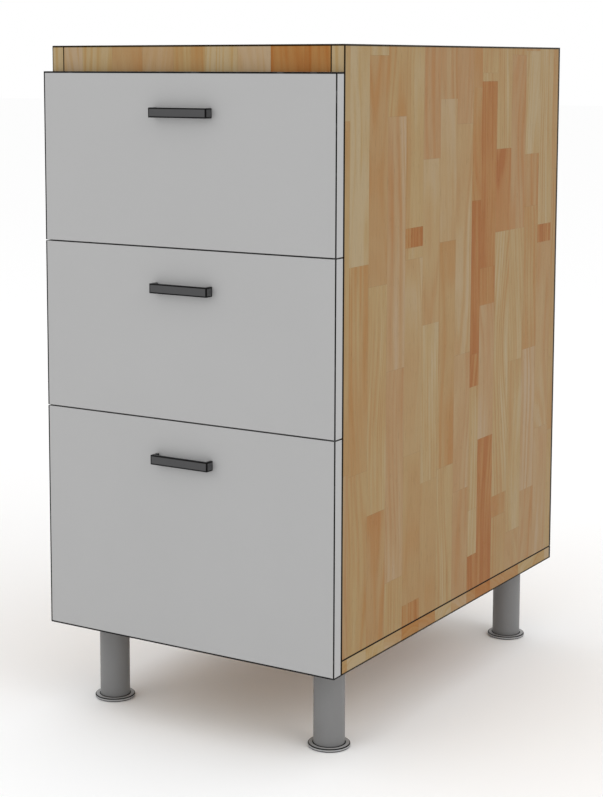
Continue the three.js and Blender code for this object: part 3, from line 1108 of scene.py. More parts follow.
    def pick_edges(self, rule: Callable[[bmesh.types.BMEdge], bool]) -> None:
        """Selects the edges that the rule names."""
        self._pick("EDGE", rule)

    def slice(self, point: Sequence[float], normal: Sequence[float]) -> None:
        """Cuts every face along a plane, and keeps both sides."""
        bpy.ops.mesh.select_all(action="SELECT")
        bpy.ops.mesh.bisect(plane_co=point, plane_no=normal)

    def modified(self, kind: str, **settings: Any) -> "Piece":
        """Adds a modifier and applies it.

        Args:
            kind: The modifier's type.
            **settings: Its settings.

        Returns:
            This piece.
        """
        self._alone()
        modifier = self.object.modifiers.new(kind.lower(), kind)
        for name, value in settings.items():
            setattr(modifier, name, value)
        bpy.ops.object.modifier_apply(modifier=modifier.name)
        return self

    def bevelled(self, width: float, segments: int = 3, edge_slot: int = -1) -> "Piece":
        """Rounds every sharp edge.

        Args:
            width: How far the rounding reaches.
            segments: Its facets.
            edge_slot: The material slot that the rounding gets, or -1 for its neighbour's.

        Returns:
            This piece.
        """
        settings = {"width": width, "segments": segments, "limit_method": "ANGLE", "material": edge_slot}
        return self.modified("BEVEL", **settings)

    def cut(self, tool: "Piece") -> "Piece":
        """Cuts another piece's shape out of this one, and removes that piece.

        Args:
            tool: The other piece.

        Returns:
            This piece.
        """
        self.modified("BOOLEAN", object=tool.object, operation="DIFFERENCE", solver="EXACT")
        bpy.data.objects.remove(tool.object)
        return self

    def smooth(self, degrees: float = 30.0) -> "Piece":
        """Shades the piece smooth, apart from its sharp edges.

        Args:
            degrees: The angle from which an edge is sharp.

        Returns:
            This piece.
        """
        self._alone()
        bpy.ops.object.shade_smooth_by_angle(angle=math.radians(degrees))
        return self

    def dressed(self, *materials: bpy.types.Material) -> "Piece":
        """Gives the piece its material slots.

        Args:
            *materials: Their materials, in order.

        Returns:
            This piece.
        """
        self.object.data.materials.clear()
        for material in materials:
            self.object.data.materials.append(material)
        return self

    def painted(self, rule: Callable[[Any], bool], slot: int) -> "Piece":
        """Gives some faces another material slot.

        Args:
            rule: Says of each face whether it gets the slot.
            slot: The slot's number.

        Returns:
            This piece.
        """
        for face in self.object.data.polygons:
            if rule(face):
                face.material_index = slot
        return self

    def copied(self, name: str, shift: Sequence[float]) -> "Piece":
        """Copies the piece, with a mesh of its own.

        Args:
            name: The copy's name.
            shift: How far the copy is moved.

        Returns:
            The copy.
        """
        self._alone()
        bpy.ops.object.duplicate()
        return Piece(bpy.context.active_object)._named(name).moved(shift)

    def moved(self, shift: Sequence[float]) -> "Piece":
        """Moves the piece.

        Args:
            shift: How far it is moved.

        Returns:
            This piece.
        """
        self._alone()
        bpy.ops.transform.translate(value=shift)
        bpy.ops.object.transform_apply(location=True, rotation=True, scale=True)
        return self

    def turned_over(self, axis: Axis, degrees: float) -> "Piece":
        """Turns the piece about the origin.

        Args:
            axis: The line that it turns about.
            degrees: How far it turns, by the right-hand rule, which the operator reverses.

        Returns:
            This piece.
        """
        self._alone()
        bpy.ops.transform.rotate(
            value=-math.radians(degrees), orient_axis=axis.name, center_override=(0, 0, 0)
        )
        bpy.ops.object.transform_apply(location=True, rotation=True, scale=True)
        return self

    @staticmethod
    def joined(name: str, pieces: Sequence["Piece"]) -> "Piece":
        """Makes several pieces one object.

        Args:
            name: The object's name.
            pieces: The pieces, the first of which stays.

        Returns:
            The one piece.
        """
        bpy.ops.object.select_all(action="DESELECT")
        for piece in pieces:
            piece.object.select_set(True)
        bpy.context.view_layer.objects.active = pieces[0].object
        bpy.ops.object.join()
        return pieces[0]._named(name)

    def ride(self, body: str, slot: str, replaces: Sequence[str] = ()) -> None:
        """Hands the finished piece over to the part.

        Args:
            body: The body that it moves with.
            slot: The record's material slot, which is not used.
            replaces: The solids that it stands for.
        """
        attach(self.object, body)
        if replaces:
            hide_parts(*replaces)
        LOG.info("%s rides on %s", self.object.name, body)


def dress_node(name: str, material: bpy.types.Material) -> None:
    """Gives a solid of the frame a better material.

    Args:
        name: The solid's node.
        material: Its material.
    """
    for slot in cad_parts[name].material_slots:
        slot.material = material
    LOG.info("%s has %s", name, material.name)


# ---- Fasteners ---------------------------------------------------------------------------------

Turn = tuple[Axis, float]  # the line that a piece turns about, and the degrees
FACE_DOWN = (Axis.X, 180.0)
FACE_BACK = (Axis.X, -90.0)  # heads face +Y
FACE_LEFT = (Axis.Y, -90.0)  # heads face -X
FACE_RIGHT = (Axis.Y, 90.0)  # heads face +X


@dataclass
class Screw:
    """A cross-head screw, modelled once with its head on the XY plane, facing +Z.

    Attributes:
        head: Diameter of the head.
        height: Height of the head.
        shank: Diameter of the shank.
        reach: Length of the shank below the head.
        arm: Length of the recess from tip to tip.
        slit: Width of the recess's arms.
        crown: Rings in the rounding of the head.
        brim: How high the rounding starts, as a share of the head's height.
        recess: How high the recess's floor is, as a share of the head's height.
    """

    head: float
    height: float
    shank: float
    reach: float
    arm: float = 3.4 * MM
    slit: float = 0.8 * MM
    crown: int = 5
    brim: float = 0.35
    recess: float = 0.3

    def model(self, finishes: Finishes) -> Piece:
        """Models the screw.

        Args:
            finishes: The shared finishes.

        Returns:
            The screw, which is copied to each place and then removed.
        """
        outer, inner = self.head / 2, self.shank / 2
        profile = [(inner * 0.7, -self.reach), (inner, -self.reach + inner * 0.4), (inner, 0), (outer, 0)]
        for step in range(self.crown):
            angle = math.radians(90 * step / self.crown)
            radius, rise = outer * math.cos(angle) ** 0.6, (1 - self.brim) * math.sin(angle)
            profile.append((radius, self.height * (self.brim + rise)))
        screw = Piece.turned("screw_model", (0, 0, 0), profile, steps=24)
        screw.dressed(finishes.screw, finishes.recess)
        floor, above = self.height * self.recess, self.height * 3
        for arm, slit in ((self.arm, self.slit), (self.slit, self.arm)):
            low, high = (-arm / 2, -slit / 2, floor), (arm / 2, slit / 2, above)
            screw.cut(Piece.block("recess_cutter", low, high))
        # The faces inside the recess get the dark painted shade.
        return screw.painted(self._is_recessed, 1).smooth(35)

    def _is_recessed(self, face: bpy.types.MeshPolygon) -> bool:
        """Whether a face is inside the recess, which the head's flat top isn't."""
        is_inner = face.center.to_2d().length < self.arm * 0.55
        return is_inner and 0 < face.center.z < self.height * 0.9

    def placed(self, name: str, finishes: Finishes, places: Sequence[Vector], facing: Turn) -> Piece:
        """Copies the screw to each place, as one object.

        Args:
            name: The object's name.
            finishes: The shared finishes.
            places: Where the undersides of the heads sit.
            facing: The turn that brings +Z to the way that the heads face.

        Returns:
            The joined screws.
        """
        model = self.model(finishes).turned_over(*facing)
        copies = [model.copied(f"{name}_{i}", place) for i, place in enumerate(places)]
        bpy.data.objects.remove(model.object)
        return Piece.joined(name, copies)


# ---- Sub-assemblies ----------------------------------------------------------------------------


@dataclass
class Carcass:
    """The fixed boards: sides that stand on the bottom panel, two top rails and the back.

    Attributes:
        finishes: The shared finishes.
        first_stave: Width of the first stave at the front of a side panel.
        narrow_at: Where the side panels' narrow stave ends, from the front.
        narrowed: How much is missing from that stave.
        front_block: The pale block at the front edge of both side panels.
        rail_first_stave: Width of the front rail's first stave.
        overrun: How far a placed block runs past the end of its board.
        outer_line: Width of the dark line along the top and the bottom of the carcass.
        rear_line: Width of that line along the rear edges.
        seam_line: Width of that line, as painted shade, where the side panels stand on the bottom panel.
        joint_line: Width of that line, as painted shade, on both sides of the joints at the rails' ends.
        screw_inset: From the bottom panel's side edges to its screws.
        screw_ends: From its front and rear edges to the first and last screw.
        screw_count: Screws along each side.
        screw: Those screws.
    """

    finishes: Finishes
    first_stave: float = 12 * MM
    narrow_at: float = 342 * MM
    narrowed: float = 18 * MM
    front_block: Block = Block(0, 0.600, 0.690, 0.20)
    rail_first_stave: float = 28 * MM
    overrun: float = 1 * MM
    outer_line: float = 2.5 * MM
    rear_line: float = 6 * MM
    seam_line: float = 1.1 * MM
    joint_line: float = 0.8 * MM
    screw_inset: float = 8.5 * MM
    screw_ends: float = 60 * MM
    screw_count: int = 4
    screw: Screw = field(default_factory=lambda: Screw(7.6 * MM, 0.9 * MM, 5 * MM, 6 * MM))

    def side_blocks(self) -> list[Block]:
        """Places the right side panel's most striking blocks, as the photograph shows them.

        Returns:
            The blocks, from the front to the rear.
        """
        return [
            self.front_block,
            Block(1, 0.440, 0.690, 0.12), Block(4, 0.450, 0.473, 0.88),
            Block(4, 0.000, 0.026, 0.80), Block(5, 0.165, 0.355, 0.20),
            Block(6, 0.450, 0.620, 0.16), Block(6, 0.174, 0.450, 0.50),
            Block(6, 0.000, 0.174, 0.28), Block(8, 0.494, 0.633, 0.64),
            Block(8, 0.302, 0.494, 1.06), Block(8, 0.261, 0.302, 0.84),
            Block(8, 0.000, 0.045, 0.94), Block(9, 0.408, 0.640, 0.88),
            Block(9, 0.361, 0.408, 0.78), Block(9, 0.000, 0.191, 0.92),
            Block(10, 0.450, 0.555, 0.68), Block(10, 0.108, 0.450, 0.24),
            Block(11, 0.278, 0.450, 0.28), Block(12, 0.545, 0.678, 0.20),
            Block(12, 0.098, 0.288, 0.20), Block(13, 0.426, 0.450, 0.88),
        ]

    def rail_blocks(self) -> list[Block]:
        """Places the front rail's blocks: pale ones, and the dark pair at its right-hand end.

        Returns:
            The blocks, from left to right, each over the rail's whole height.
        """
        low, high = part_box("front_rail")
        beyond = high.z - low.z + self.overrun
        tones = (0.23, 0.43, 0.61, 0.39, 0.53, 0.29, 0.23, 0.95, 0.95)
        return [Block(column, -self.overrun, beyond, tone) for column, tone in enumerate(tones)]

    def bottom_blocks(self) -> list[Block]:
        """Places the blocks whose ends show below the right side panel, in four lengths.

        Returns:
            The blocks, from the front to the rear.
        """
        low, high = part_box("bottom_panel")
        beyond = high.x - low.x + self.overrun
        shortest, step = 100 * MM, 70 * MM
        tones = (0.30, 0.02, 0.20, 0.26, 0.72, 0.58, 0.10, 0.16, 0.64, 0.86, 0.58, 0.52, 0.18, 0.26, 0.02)
        starts = [beyond - shortest - step * (3 * column % 4) for column in range(len(tones))]
        return [Block(column, starts[column], beyond, tone) for column, tone in enumerate(tones)]

    def edge_lines(self) -> dict[str, EdgeWidths]:
        """Gives the widths of the dark line along the boards' edges.

        Returns:
            The widths by the board's node.
        """
        left, right = ((Axis.X, end) for end in End)
        below, top = ((Axis.Z, end) for end in End)
        rear = (Axis.Y, End.HIGH)
        upright = {top: self.outer_line, below: self.seam_line, rear: self.rear_line}
        rail = {top: self.outer_line, left: self.joint_line, right: self.joint_line}
        return {
            "side_panel_right": {left: self.joint_line, **upright},
            "side_panel_left": {right: self.joint_line, **upright},
            "bottom_panel": {top: self.seam_line, below: self.outer_line, rear: self.rear_line},
            "front_rail": rail,
            "rear_rail": rail,
        }

    def dress_boards(self) -> None:
        """Finishes the boards."""
        cut = (self.first_stave, self.narrow_at, self.narrowed)
        boards = {
            "side_panel_right": (Axis.Z, 3.0, Layout(*cut, self.side_blocks())),
            "side_panel_left": (Axis.Z, 41.0, Layout(self.first_stave, blocks=[self.front_block])),
            "bottom_panel": (Axis.X, 17.0, Layout(*cut, self.bottom_blocks())),
            "front_rail": (Axis.Z, 29.0, Layout(self.rail_first_stave, blocks=self.rail_blocks())),
            "rear_rail": (Axis.X, 57.0, Layout()),
        }
        lines = self.edge_lines()
        for node, (grain, seed, layout) in boards.items():
            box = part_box(node)
            dress_node(node, STAVE_BOARD.board(f"{node}_timber", box, grain, seed, layout, lines[node]))
        dress_node("back_panel", self.finishes.fibre)

    def add_screws(self) -> None:
        """Adds the screws that come up through the bottom panel into the side panels."""
        low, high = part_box("bottom_panel")
        first, last = low.y + self.screw_ends, high.y - self.screw_ends
        places = []
        for x in (low.x + self.screw_inset, high.x - self.screw_inset):
            for i in range(self.screw_count):
                y = first + (last - first) * i / (self.screw_count - 1)
                places.append(Vector((x, y, low.z)))
        screws = self.screw.placed("bottom_panel_screws", self.finishes, places, FACE_DOWN)
        screws.ride("carcass", "runner_steel")

    def build(self) -> None:
        """Dresses the boards and adds their screws."""
        self.dress_boards()
        self.add_screws()


@dataclass
class Leg:
    """One adjustable leg: a screw plate, a tube, and a disc foot on a threaded stem.

    Attributes:
        finishes: The shared finishes.
        row: The front or the rear pair.
        side: The left or the right.
        tube_wall: Wall of the tube.
        tapped_end: Height of the tube's thick lower end.
        rim: Rounding of the tube's edges.
        tube_play: Gap between the tube and the foot below it.
        foot_rim: Rounding of the foot's edges.
        foot_rest: From the foot's outside to the inner ring of its underside.
        shadow_ring: Width of the dark ring of painted shade on the foot, to each side of the tube's
            outside.
        stem: Diameter of the stem.
        stem_play: Gap round the stem.
        collar: How far the stem's collar reaches out on the foot.
        collar_height: Height of that collar.
        thread: Height of one turn of the thread.
        thread_depth: Depth of the thread.
        thread_start: From the foot's top to the thread.
        stem_tip: What stays without thread at the stem's upper end.
        tip_taper: How much that end narrows.
        plate_hole: From a plate's centre to its holes, along X and along Y.
        plate_thickness: Thickness of the plate.
        screw: The plate's screws.
    """

    finishes: Finishes
    row: Row
    side: Side
    tube_wall: float = 1.5 * MM
    tapped_end: float = 10 * MM
    rim: float = 0.5 * MM
    tube_play: float = 0.2 * MM
    foot_rim: float = 1.1 * MM
    foot_rest: float = 3 * MM
    shadow_ring: float = 1.2 * MM
    stem: float = 10 * MM
    stem_play: float = 0.2 * MM
    collar: float = 1.2 * MM
    collar_height: float = 0.8 * MM
    thread: float = 1.5 * MM
    thread_depth: float = 0.6 * MM
    thread_start: float = 2 * MM
    stem_tip: float = 1 * MM
    tip_taper: float = 0.6 * MM
    plate_hole: float = 22 * MM
    plate_thickness: float = 3 * MM
    screw: Screw = field(default_factory=lambda: Screw(7.4 * MM, 2.2 * MM, 4 * MM, 3.4 * MM))

    @property
    def corner(self) -> str:
        """The leg's corner, as its solids' names end."""
        return f"{self.row.value}_{self.side.value}"

    @staticmethod
    def rounded(radius: float, height: float, rim: float, upper: bool, steps: int = 4) -> list[Ring]:
        """Draws the rings of a rounded outer rim, from below upwards.

        Args:
            radius: The radius at the rim's outside.
            height: The height of the flat face beside it.
            rim: The rounding's radius.
            upper: Whether that face is on top.
            steps: Its facets.

        Returns:
            The rings.
        """
        rings = []
        for step in range(steps + 1):
            angle = math.radians(90 * step / steps)
            short, long = rim * (1 - math.cos(angle)), rim * (1 - math.sin(angle))
            rings.append((radius - short, height - long) if upper else (radius - long, height + short))
        return rings

    def build_tube(self) -> None:
        """Makes the tube, with its tapped end."""
        node = f"leg_tube_{self.corner}"
        low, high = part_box(node)
        centre = ((low.x + high.x) / 2, (low.y + high.y) / 2, low.z)
        outer, height = (high.x - low.x) / 2, high.z - low.z
        inner, bore = outer - self.tube_wall, self.stem / 2 + self.stem_play
        profile = [(bore, self.tapped_end), (bore, 0), *self.rounded(outer, 0, self.rim, False)]
        profile += [*self.rounded(outer, height, self.rim, True), (inner, height), (inner, self.tapped_end)]
        tube = Piece.turned(f"{self.corner}_leg", centre, profile, steps=96, hollow=True)
        tube.dressed(self.finishes.leg).smooth()
        tube.ride("carcass", "leg_metal", [node])

    def build_foot(self) -> None:
        """Makes the disc foot and its threaded stem."""
        node = f"leg_foot_{self.corner}"
        low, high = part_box(node)
        tube_low, tube_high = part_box(f"leg_tube_{self.corner}")
        centre = Vector(((low.x + high.x) / 2, (low.y + high.y) / 2, low.z))
        outer, tube, crest = (high.x - low.x) / 2, (tube_high.x - tube_low.x) / 2, self.stem / 2
        top = tube_low.z - self.tube_play - low.z
        above = top + self.collar_height
        profile = [(outer - self.foot_rest, 0), *self.rounded(outer, 0, self.foot_rim, False)]
        # Two rings bound the band round the tube's foot, which is painted dark as shade.
        profile += [*self.rounded(outer, top, self.foot_rim, True), (tube + self.shadow_ring, top)]
        profile += [(tube - self.shadow_ring, top), (crest + self.collar, top), (crest, above)]
        profile += self._stem_rings(top + self.thread_start, high.z - low.z)
        foot = Piece.turned(f"{self.corner}_foot", centre, profile, steps=96)
        foot.dressed(self.finishes.foot, self.finishes.foot_outline_and_shade, self.finishes.zinc)
        # The rims are dark as a drawn outline, and the band round the tube is painted shade.
        foot.painted(lambda face: self._is_dark(face.center - centre, top, outer, tube), 1)
        foot.painted(lambda face: face.center.z - low.z > above + HAIR, 2)
        foot.smooth()
        foot.ride(f"foot_{self.corner}", "foot_plastic", [node])

    def _stem_rings(self, height: float, end: float) -> list[Ring]:
        """Draws the rings of the thread, one turn after the other.

        Args:
            height: Where the thread starts.
            end: Where the stem ends.

        Returns:
            The rings.
        """
        crest = self.stem / 2
        root, rings = crest - self.thread_depth, []
        while height + self.thread < end - self.stem_tip:
            for radius, share in ((root, 0.0), (root, 0.2), (crest, 0.5), (crest, 0.7)):
                rings.append((radius, height + share * self.thread))
            height += self.thread
        return [*rings, (root, height), (root - self.tip_taper, end)]

    def _is_dark(self, place: Vector, top: float, outer: float, tube: float) -> bool:
        """Tells whether a part of the foot is in the rounding of an edge, which is dark as a drawn outline,
        or in the ring of painted shade round the tube.

        Args:
            place: Its place, from the middle of the foot's underside.
            top: The height of the foot's upper face.
            outer: The foot's radius.
            tube: The tube's radius.

        Returns:
            Whether it is.
        """
        far = place.to_2d().length
        in_rim = far > outer - self.foot_rim and 0 < place.z < top
        in_shadow_ring = abs(far - tube) < self.shadow_ring and place.z > top - HAIR
        return in_shadow_ring or in_rim and not self.foot_rim < place.z < top - self.foot_rim

    def add_screws(self) -> None:
        """Adds the plate's four screws."""
        low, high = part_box(f"leg_plate_{self.corner}")
        x, y, z = (low.x + high.x) / 2, (low.y + high.y) / 2, high.z - self.plate_thickness
        reach = self.plate_hole
        places = [Vector((x + dx, y + dy, z)) for dx in (-reach, reach) for dy in (-reach, reach)]
        screws = self.screw.placed(f"{self.corner}_plate_screws", self.finishes, places, FACE_DOWN)
        screws.ride("carcass", "runner_steel")

    def build(self) -> None:
        """Builds and dresses the leg."""
        dress_node(f"leg_plate_{self.corner}", self.finishes.leg)
        self.build_tube()
        self.build_foot()
        self.add_screws()


@dataclass(frozen=True)
class Bend:
    """A bend of sheet in a runner's section, which has X away from the side panel and Z up.

    Attributes:
        x: The bend's centre, along X.
        z: Its centre, along Z.
        radius: Its radius, at the middle of the sheet.
        start: The direction from its centre where it starts, in degrees.
        end: The direction where it ends.
    """

    x: float
    z: float
    radius: float
    start: float
    end: float

    def points(self, steps: int = 8) -> list[Corner]:
        """The bend's points, from start to end."""
        turns = [math.radians(self.start + (self.end - self.start) * i / steps) for i in range(steps + 1)]
        return [(self.x + self.radius * math.cos(a), self.z + self.radius * math.sin(a)) for a in turns]


@dataclass(frozen=True)
class Race:
    """The round track of a row of balls, seen in a runner's section.

    Attributes:
        x: Its centre, along X.
        z: Its centre, along Z, in the upper half of the section.
        radius: Its radius.
    """

    x: float
    z: float
    radius: float


@dataclass
class RunnerKit:
    """The three rails of a left-hand runner, modelled once at the origin.

    A rail of bent sheet is screwed to the side panel. A middle rail runs in it on two rows of
    balls, and a rail on the drawer runs in the middle rail on two more.

    Attributes:
        finishes: The shared finishes.
        length: Length of the cabinet's rail.
        end_play: Between the other rails' rear ends and the lug that stops them.
        lug_rim: Bevel of the lug's edges.
        height: Height of the section.
        width: From the side panel to the drawer box.
        sheet: Thickness of the sheet.
        bend: Radius of the webs' bends, at the middle of the sheet.
        web_gap: Between the cabinet rail's web and the middle rail's.
        outer_race: Radius of the race between the cabinet rail and the middle rail.
        outer_race_x: From the side panel to that race.
        inner_race: Radius of the race between the middle rail and the drawer's.
        race_slope: Degrees below level, from an outer race to the inner one.
        hood: Degrees that the middle rail wraps past an inner ball's side.
        cradle: Degrees that the drawer's rail curls up round an inner ball.
        play: Between a ball and the rail that runs over it.
        cage_length: Length of a strip of balls.
        cage_thickness: Thickness of that strip.
        cage_height: Height of that strip.
        cage_rim: Bevel of its edges.
        ball_pitch: From one ball to the next.
        hole: Radius of a screw hole.
        first_hole: From a rail's front end to its first hole.
        cabinet_step: From one hole of the cabinet's rail to the next.
        drawer_step: From one hole of the drawer's rail to the next.
    """

    finishes: Finishes
    length: float = 500 * MM
    end_play: float = 0.3 * MM
    lug_rim: float = 0.2 * MM
    height: float = 45 * MM
    width: float = 12.7 * MM
    sheet: float = 1.2 * MM
    bend: float = 1.4 * MM
    web_gap: float = 0.8 * MM
    outer_race: float = 2.6 * MM
    outer_race_x: float = 5 * MM
    inner_race: float = 2.1 * MM
    race_slope: float = 50.0
    hood: float = 10.0
    cradle: float = 70.0
    play: float = 0.3 * MM
    cage_length: float = 176 * MM
    cage_thickness: float = 0.8 * MM
    cage_height: float = 2.4 * MM
    cage_rim: float = 0.15 * MM
    ball_pitch: float = 16 * MM
    hole: float = 2.2 * MM
    first_hole: float = 34 * MM
    cabinet_step: float = 128 * MM
    drawer_step: float = 192 * MM

    def __post_init__(self) -> None:
        """Works out the places of the races."""
        spacing, slope = self.outer_race + self.sheet + self.inner_race, math.radians(self.race_slope)
        x, z = self.outer_race_x, self.height / 2 - self.sheet - self.outer_race
        self.outer = Race(x, z, self.outer_race)
        x, z = x + spacing * math.cos(slope), z - spacing * math.sin(slope)
        self.inner = Race(x, z, self.inner_race)
        self.moving_length = self.length - self.sheet - self.end_play

    def hole_places(self, step: float) -> list[float]:
        """Places the screw holes of a rail.

        Args:
            step: From one hole to the next.

        Returns:
            How far from the rail's front end each of them is.
        """
        count = 1 + int((self.moving_length - self.first_hole - self.hole) / step)
        return [self.first_hole + i * step for i in range(count)]

    def _race_bend(self, race: Race, start: float, end: float) -> Bend:
        """The bend round a race, from one direction to another."""
        return Bend(race.x, race.z, race.radius + self.sheet / 2, start, end)

    def _web_bend(self, web: float, flange: float, start: float) -> Bend:
        """The bend from a web into a flange."""
        inward = self.bend if start > 90 else -self.bend
        return Bend(web + inward, flange - self.bend, self.bend, start, 90)

    def _rail(self, name: str, bends: Sequence[Bend], length: float) -> Piece:
        """Bends a rail, whose lower half mirrors its upper half.

        Args:
            name: The rail's name.
            bends: The bends of its upper half, from its web to its lip.
            length: Its length.

        Returns:
            The rail.
        """
        upper = [point for bend in bends for point in bend.points()]
        lower = [(x, -z) for x, z in reversed(upper)]
        rail = Piece.sheet(name, lower + upper, length, self.sheet)
        return rail.dressed(self.finishes.zinc)

    def _drilled(self, rail: Piece, step: float) -> Piece:
        """Drills a rail's screw holes.

        Args:
            rail: The rail.
            step: From one hole to the next.

        Returns:
            The same rail.
        """
        for place in self.hole_places(step):
            drill = Piece.added(
                "drill",
                bpy.ops.mesh.primitive_cylinder_add,
                vertices=24,
                radius=self.hole,
                depth=4 * self.width,
                location=(0, place, 0),
                rotation=(0, math.radians(90), 0),
            )
            rail.cut(drill)
        return rail

    def _ball_row(self, race: Race, seat: int, centre: float) -> list[Piece]:
        """Makes the balls and their strips in the upper and the lower race.

        Args:
            race: The race.
            seat: 1 where the balls of the upper race sit against its top, and -1 for its bottom.
            centre: How far the strips' middle is from the front end.

        Returns:
            The balls and the strips.
        """
        pieces = []
        count = int(self.cage_length / self.ball_pitch)
        half = Vector((self.cage_thickness, self.cage_length, self.cage_height)) / 2
        for side in (-1, 1):
            middle = Vector((race.x, centre, side * (race.z + seat * self.play * 3 / 4)))
            strip = Piece.block("ball_strip", middle - half, middle + half)
            pieces.append(strip.bevelled(self.cage_rim, 1))
            ball = Piece.added(
                "ball",
                bpy.ops.mesh.primitive_ico_sphere_add,
                subdivisions=2,
                radius=race.radius - self.play / 4,
                location=middle - Vector((0, (count - 1) / 2 * self.ball_pitch, 0)),
            ).smooth(180)
            pieces.append(ball)
            for i in range(1, count):
                pieces.append(ball.copied(f"ball_{i}", (0, i * self.ball_pitch, 0)))
        return pieces

    def cabinet_rail(self) -> Piece:
        """Makes the rail on the side panel, with the lug that stops the others.

        Returns:
            The rail.
        """
        web, flange = self.sheet / 2, self.height / 2 - self.sheet / 2
        bends = [self._web_bend(web, flange, 180), self._race_bend(self.outer, 90, 0)]
        rail = self._drilled(self._rail("cabinet_rail", bends, self.length), self.cabinet_step)
        low = (web, self.length - self.sheet, -self.inner.z)
        high = (web + self.inner.x, self.length, self.inner.z)
        lug = Piece.block("rear_lug", low, high).bevelled(self.lug_rim, 1).dressed(self.finishes.zinc)
        return Piece.joined("cabinet_rail_model", [rail.smooth(), lug])

    def middle_rail(self) -> Piece:
        """Makes the rail between, with all four rows of balls.

        Returns:
            The rail.
        """
        web = self.sheet + self.web_gap + self.sheet / 2
        flange = self.outer.z - self.outer_race - self.sheet / 2
        bends = [
            self._web_bend(web, flange, 180),
            self._race_bend(self.outer, 270, 360 - self.race_slope),
            self._race_bend(self.inner, 180 - self.race_slope, -self.hood),
        ]
        rail = self._rail("middle_rail", bends, self.moving_length).smooth()
        rows = self._ball_row(self.outer, -1, self.moving_length * 3 / 4)
        rows += self._ball_row(self.inner, 1, self.moving_length / 4)
        for piece in rows:
            piece.dressed(self.finishes.ball)
        return Piece.joined("middle_rail_model", [rail, *rows])

    def drawer_rail(self) -> Piece:
        """Makes the rail on the drawer box.

        Returns:
            The rail.
        """
        web, flange = self.width - self.sheet / 2, self.inner.z - self.inner_race - self.sheet / 2
        bends = [self._web_bend(web, flange, 0), self._race_bend(self.inner, 270, 270 - self.cradle)]
        rail = self._rail("drawer_rail_model", bends, self.moving_length)
        return self._drilled(rail, self.drawer_step).smooth()

    def models(self) -> dict[str, Piece]:
        """Makes the three rails.

        Returns:
            The rails by their place.
        """
        return {
            "cabinet": self.cabinet_rail(),
            "middle": self.middle_rail(),
            "drawer": self.drawer_rail(),
        }


@dataclass
class Runner:
    """One three-part runner beside a drawer.

    Attributes:
        finishes: The shared finishes.
        level: The drawer that it carries.
        side: The side of that drawer.
        kit: The sizes of its rails.
        drawer_screw: The screws in the drawer's rail.
        cabinet_screw: The flat screws in the cabinet's rail, which the middle rail passes over.
    """

    finishes: Finishes
    level: Level
    side: Side
    kit: RunnerKit
    drawer_screw: Screw = field(
        default_factory=lambda: Screw(7 * MM, 1.8 * MM, 4 * MM, 1.1 * MM, arm=3.2 * MM)
    )
    cabinet_screw: Screw = field(
        default_factory=lambda: Screw(7.2 * MM, 0.5 * MM, 4 * MM, 1.1 * MM, arm=3.6 * MM)
    )

    def _bodies(self) -> dict[str, str]:
        """Names the body that each rail rides on."""
        middle = f"{self.level.value}_{self.side.value}_runner_middle"
        return {"cabinet": "carcass", "middle": middle, "drawer": f"{self.level.value}_drawer"}

    def build(self, models: dict[str, Piece]) -> None:
        """Copies the rails to their place and adds their screws.

        Args:
            models: The rails of a left-hand runner at the origin.
        """
        name = f"{self.level.value}_{self.side.value}"
        low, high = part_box(f"{name}_cabinet_rail")
        on_left = self.side is Side.LEFT
        origin = Vector((low.x if on_left else high.x, low.y, (low.z + high.z) / 2))
        for rail, body in self._bodies().items():
            node = f"{name}_{rail}_rail"
            twin = models[rail].copied(f"{node}_sheet", (0, 0, 0))
            if not on_left:
                twin.turned_over(Axis.Y, 180)
            twin.moved(origin).ride(body, "runner_steel", [node])
        self._add_screws(name, origin, 1 if on_left else -1)

    def _add_screws(self, name: str, origin: Vector, inward: int) -> None:
        """Adds the screws of both outer rails.

        Args:
            name: The runner's drawer and side.
            origin: Where the cabinet's rail starts.
            inward: 1 where the drawer is to the right of the side panel, and otherwise -1.
        """
        kit, bodies = self.kit, self._bodies()
        for rail, screw, step, depth, facing in (
            ("cabinet", self.cabinet_screw, kit.cabinet_step, kit.sheet, inward),
            ("drawer", self.drawer_screw, kit.drawer_step, kit.width - kit.sheet, -inward),
        ):
            places = [origin + Vector((inward * depth, y, 0)) for y in kit.hole_places(step)]
            turn = FACE_RIGHT if facing > 0 else FACE_LEFT
            screws = screw.placed(f"{name}_{rail}_rail_screws", self.finishes, places, turn)
            screws.ride(bodies[rail], "runner_steel")


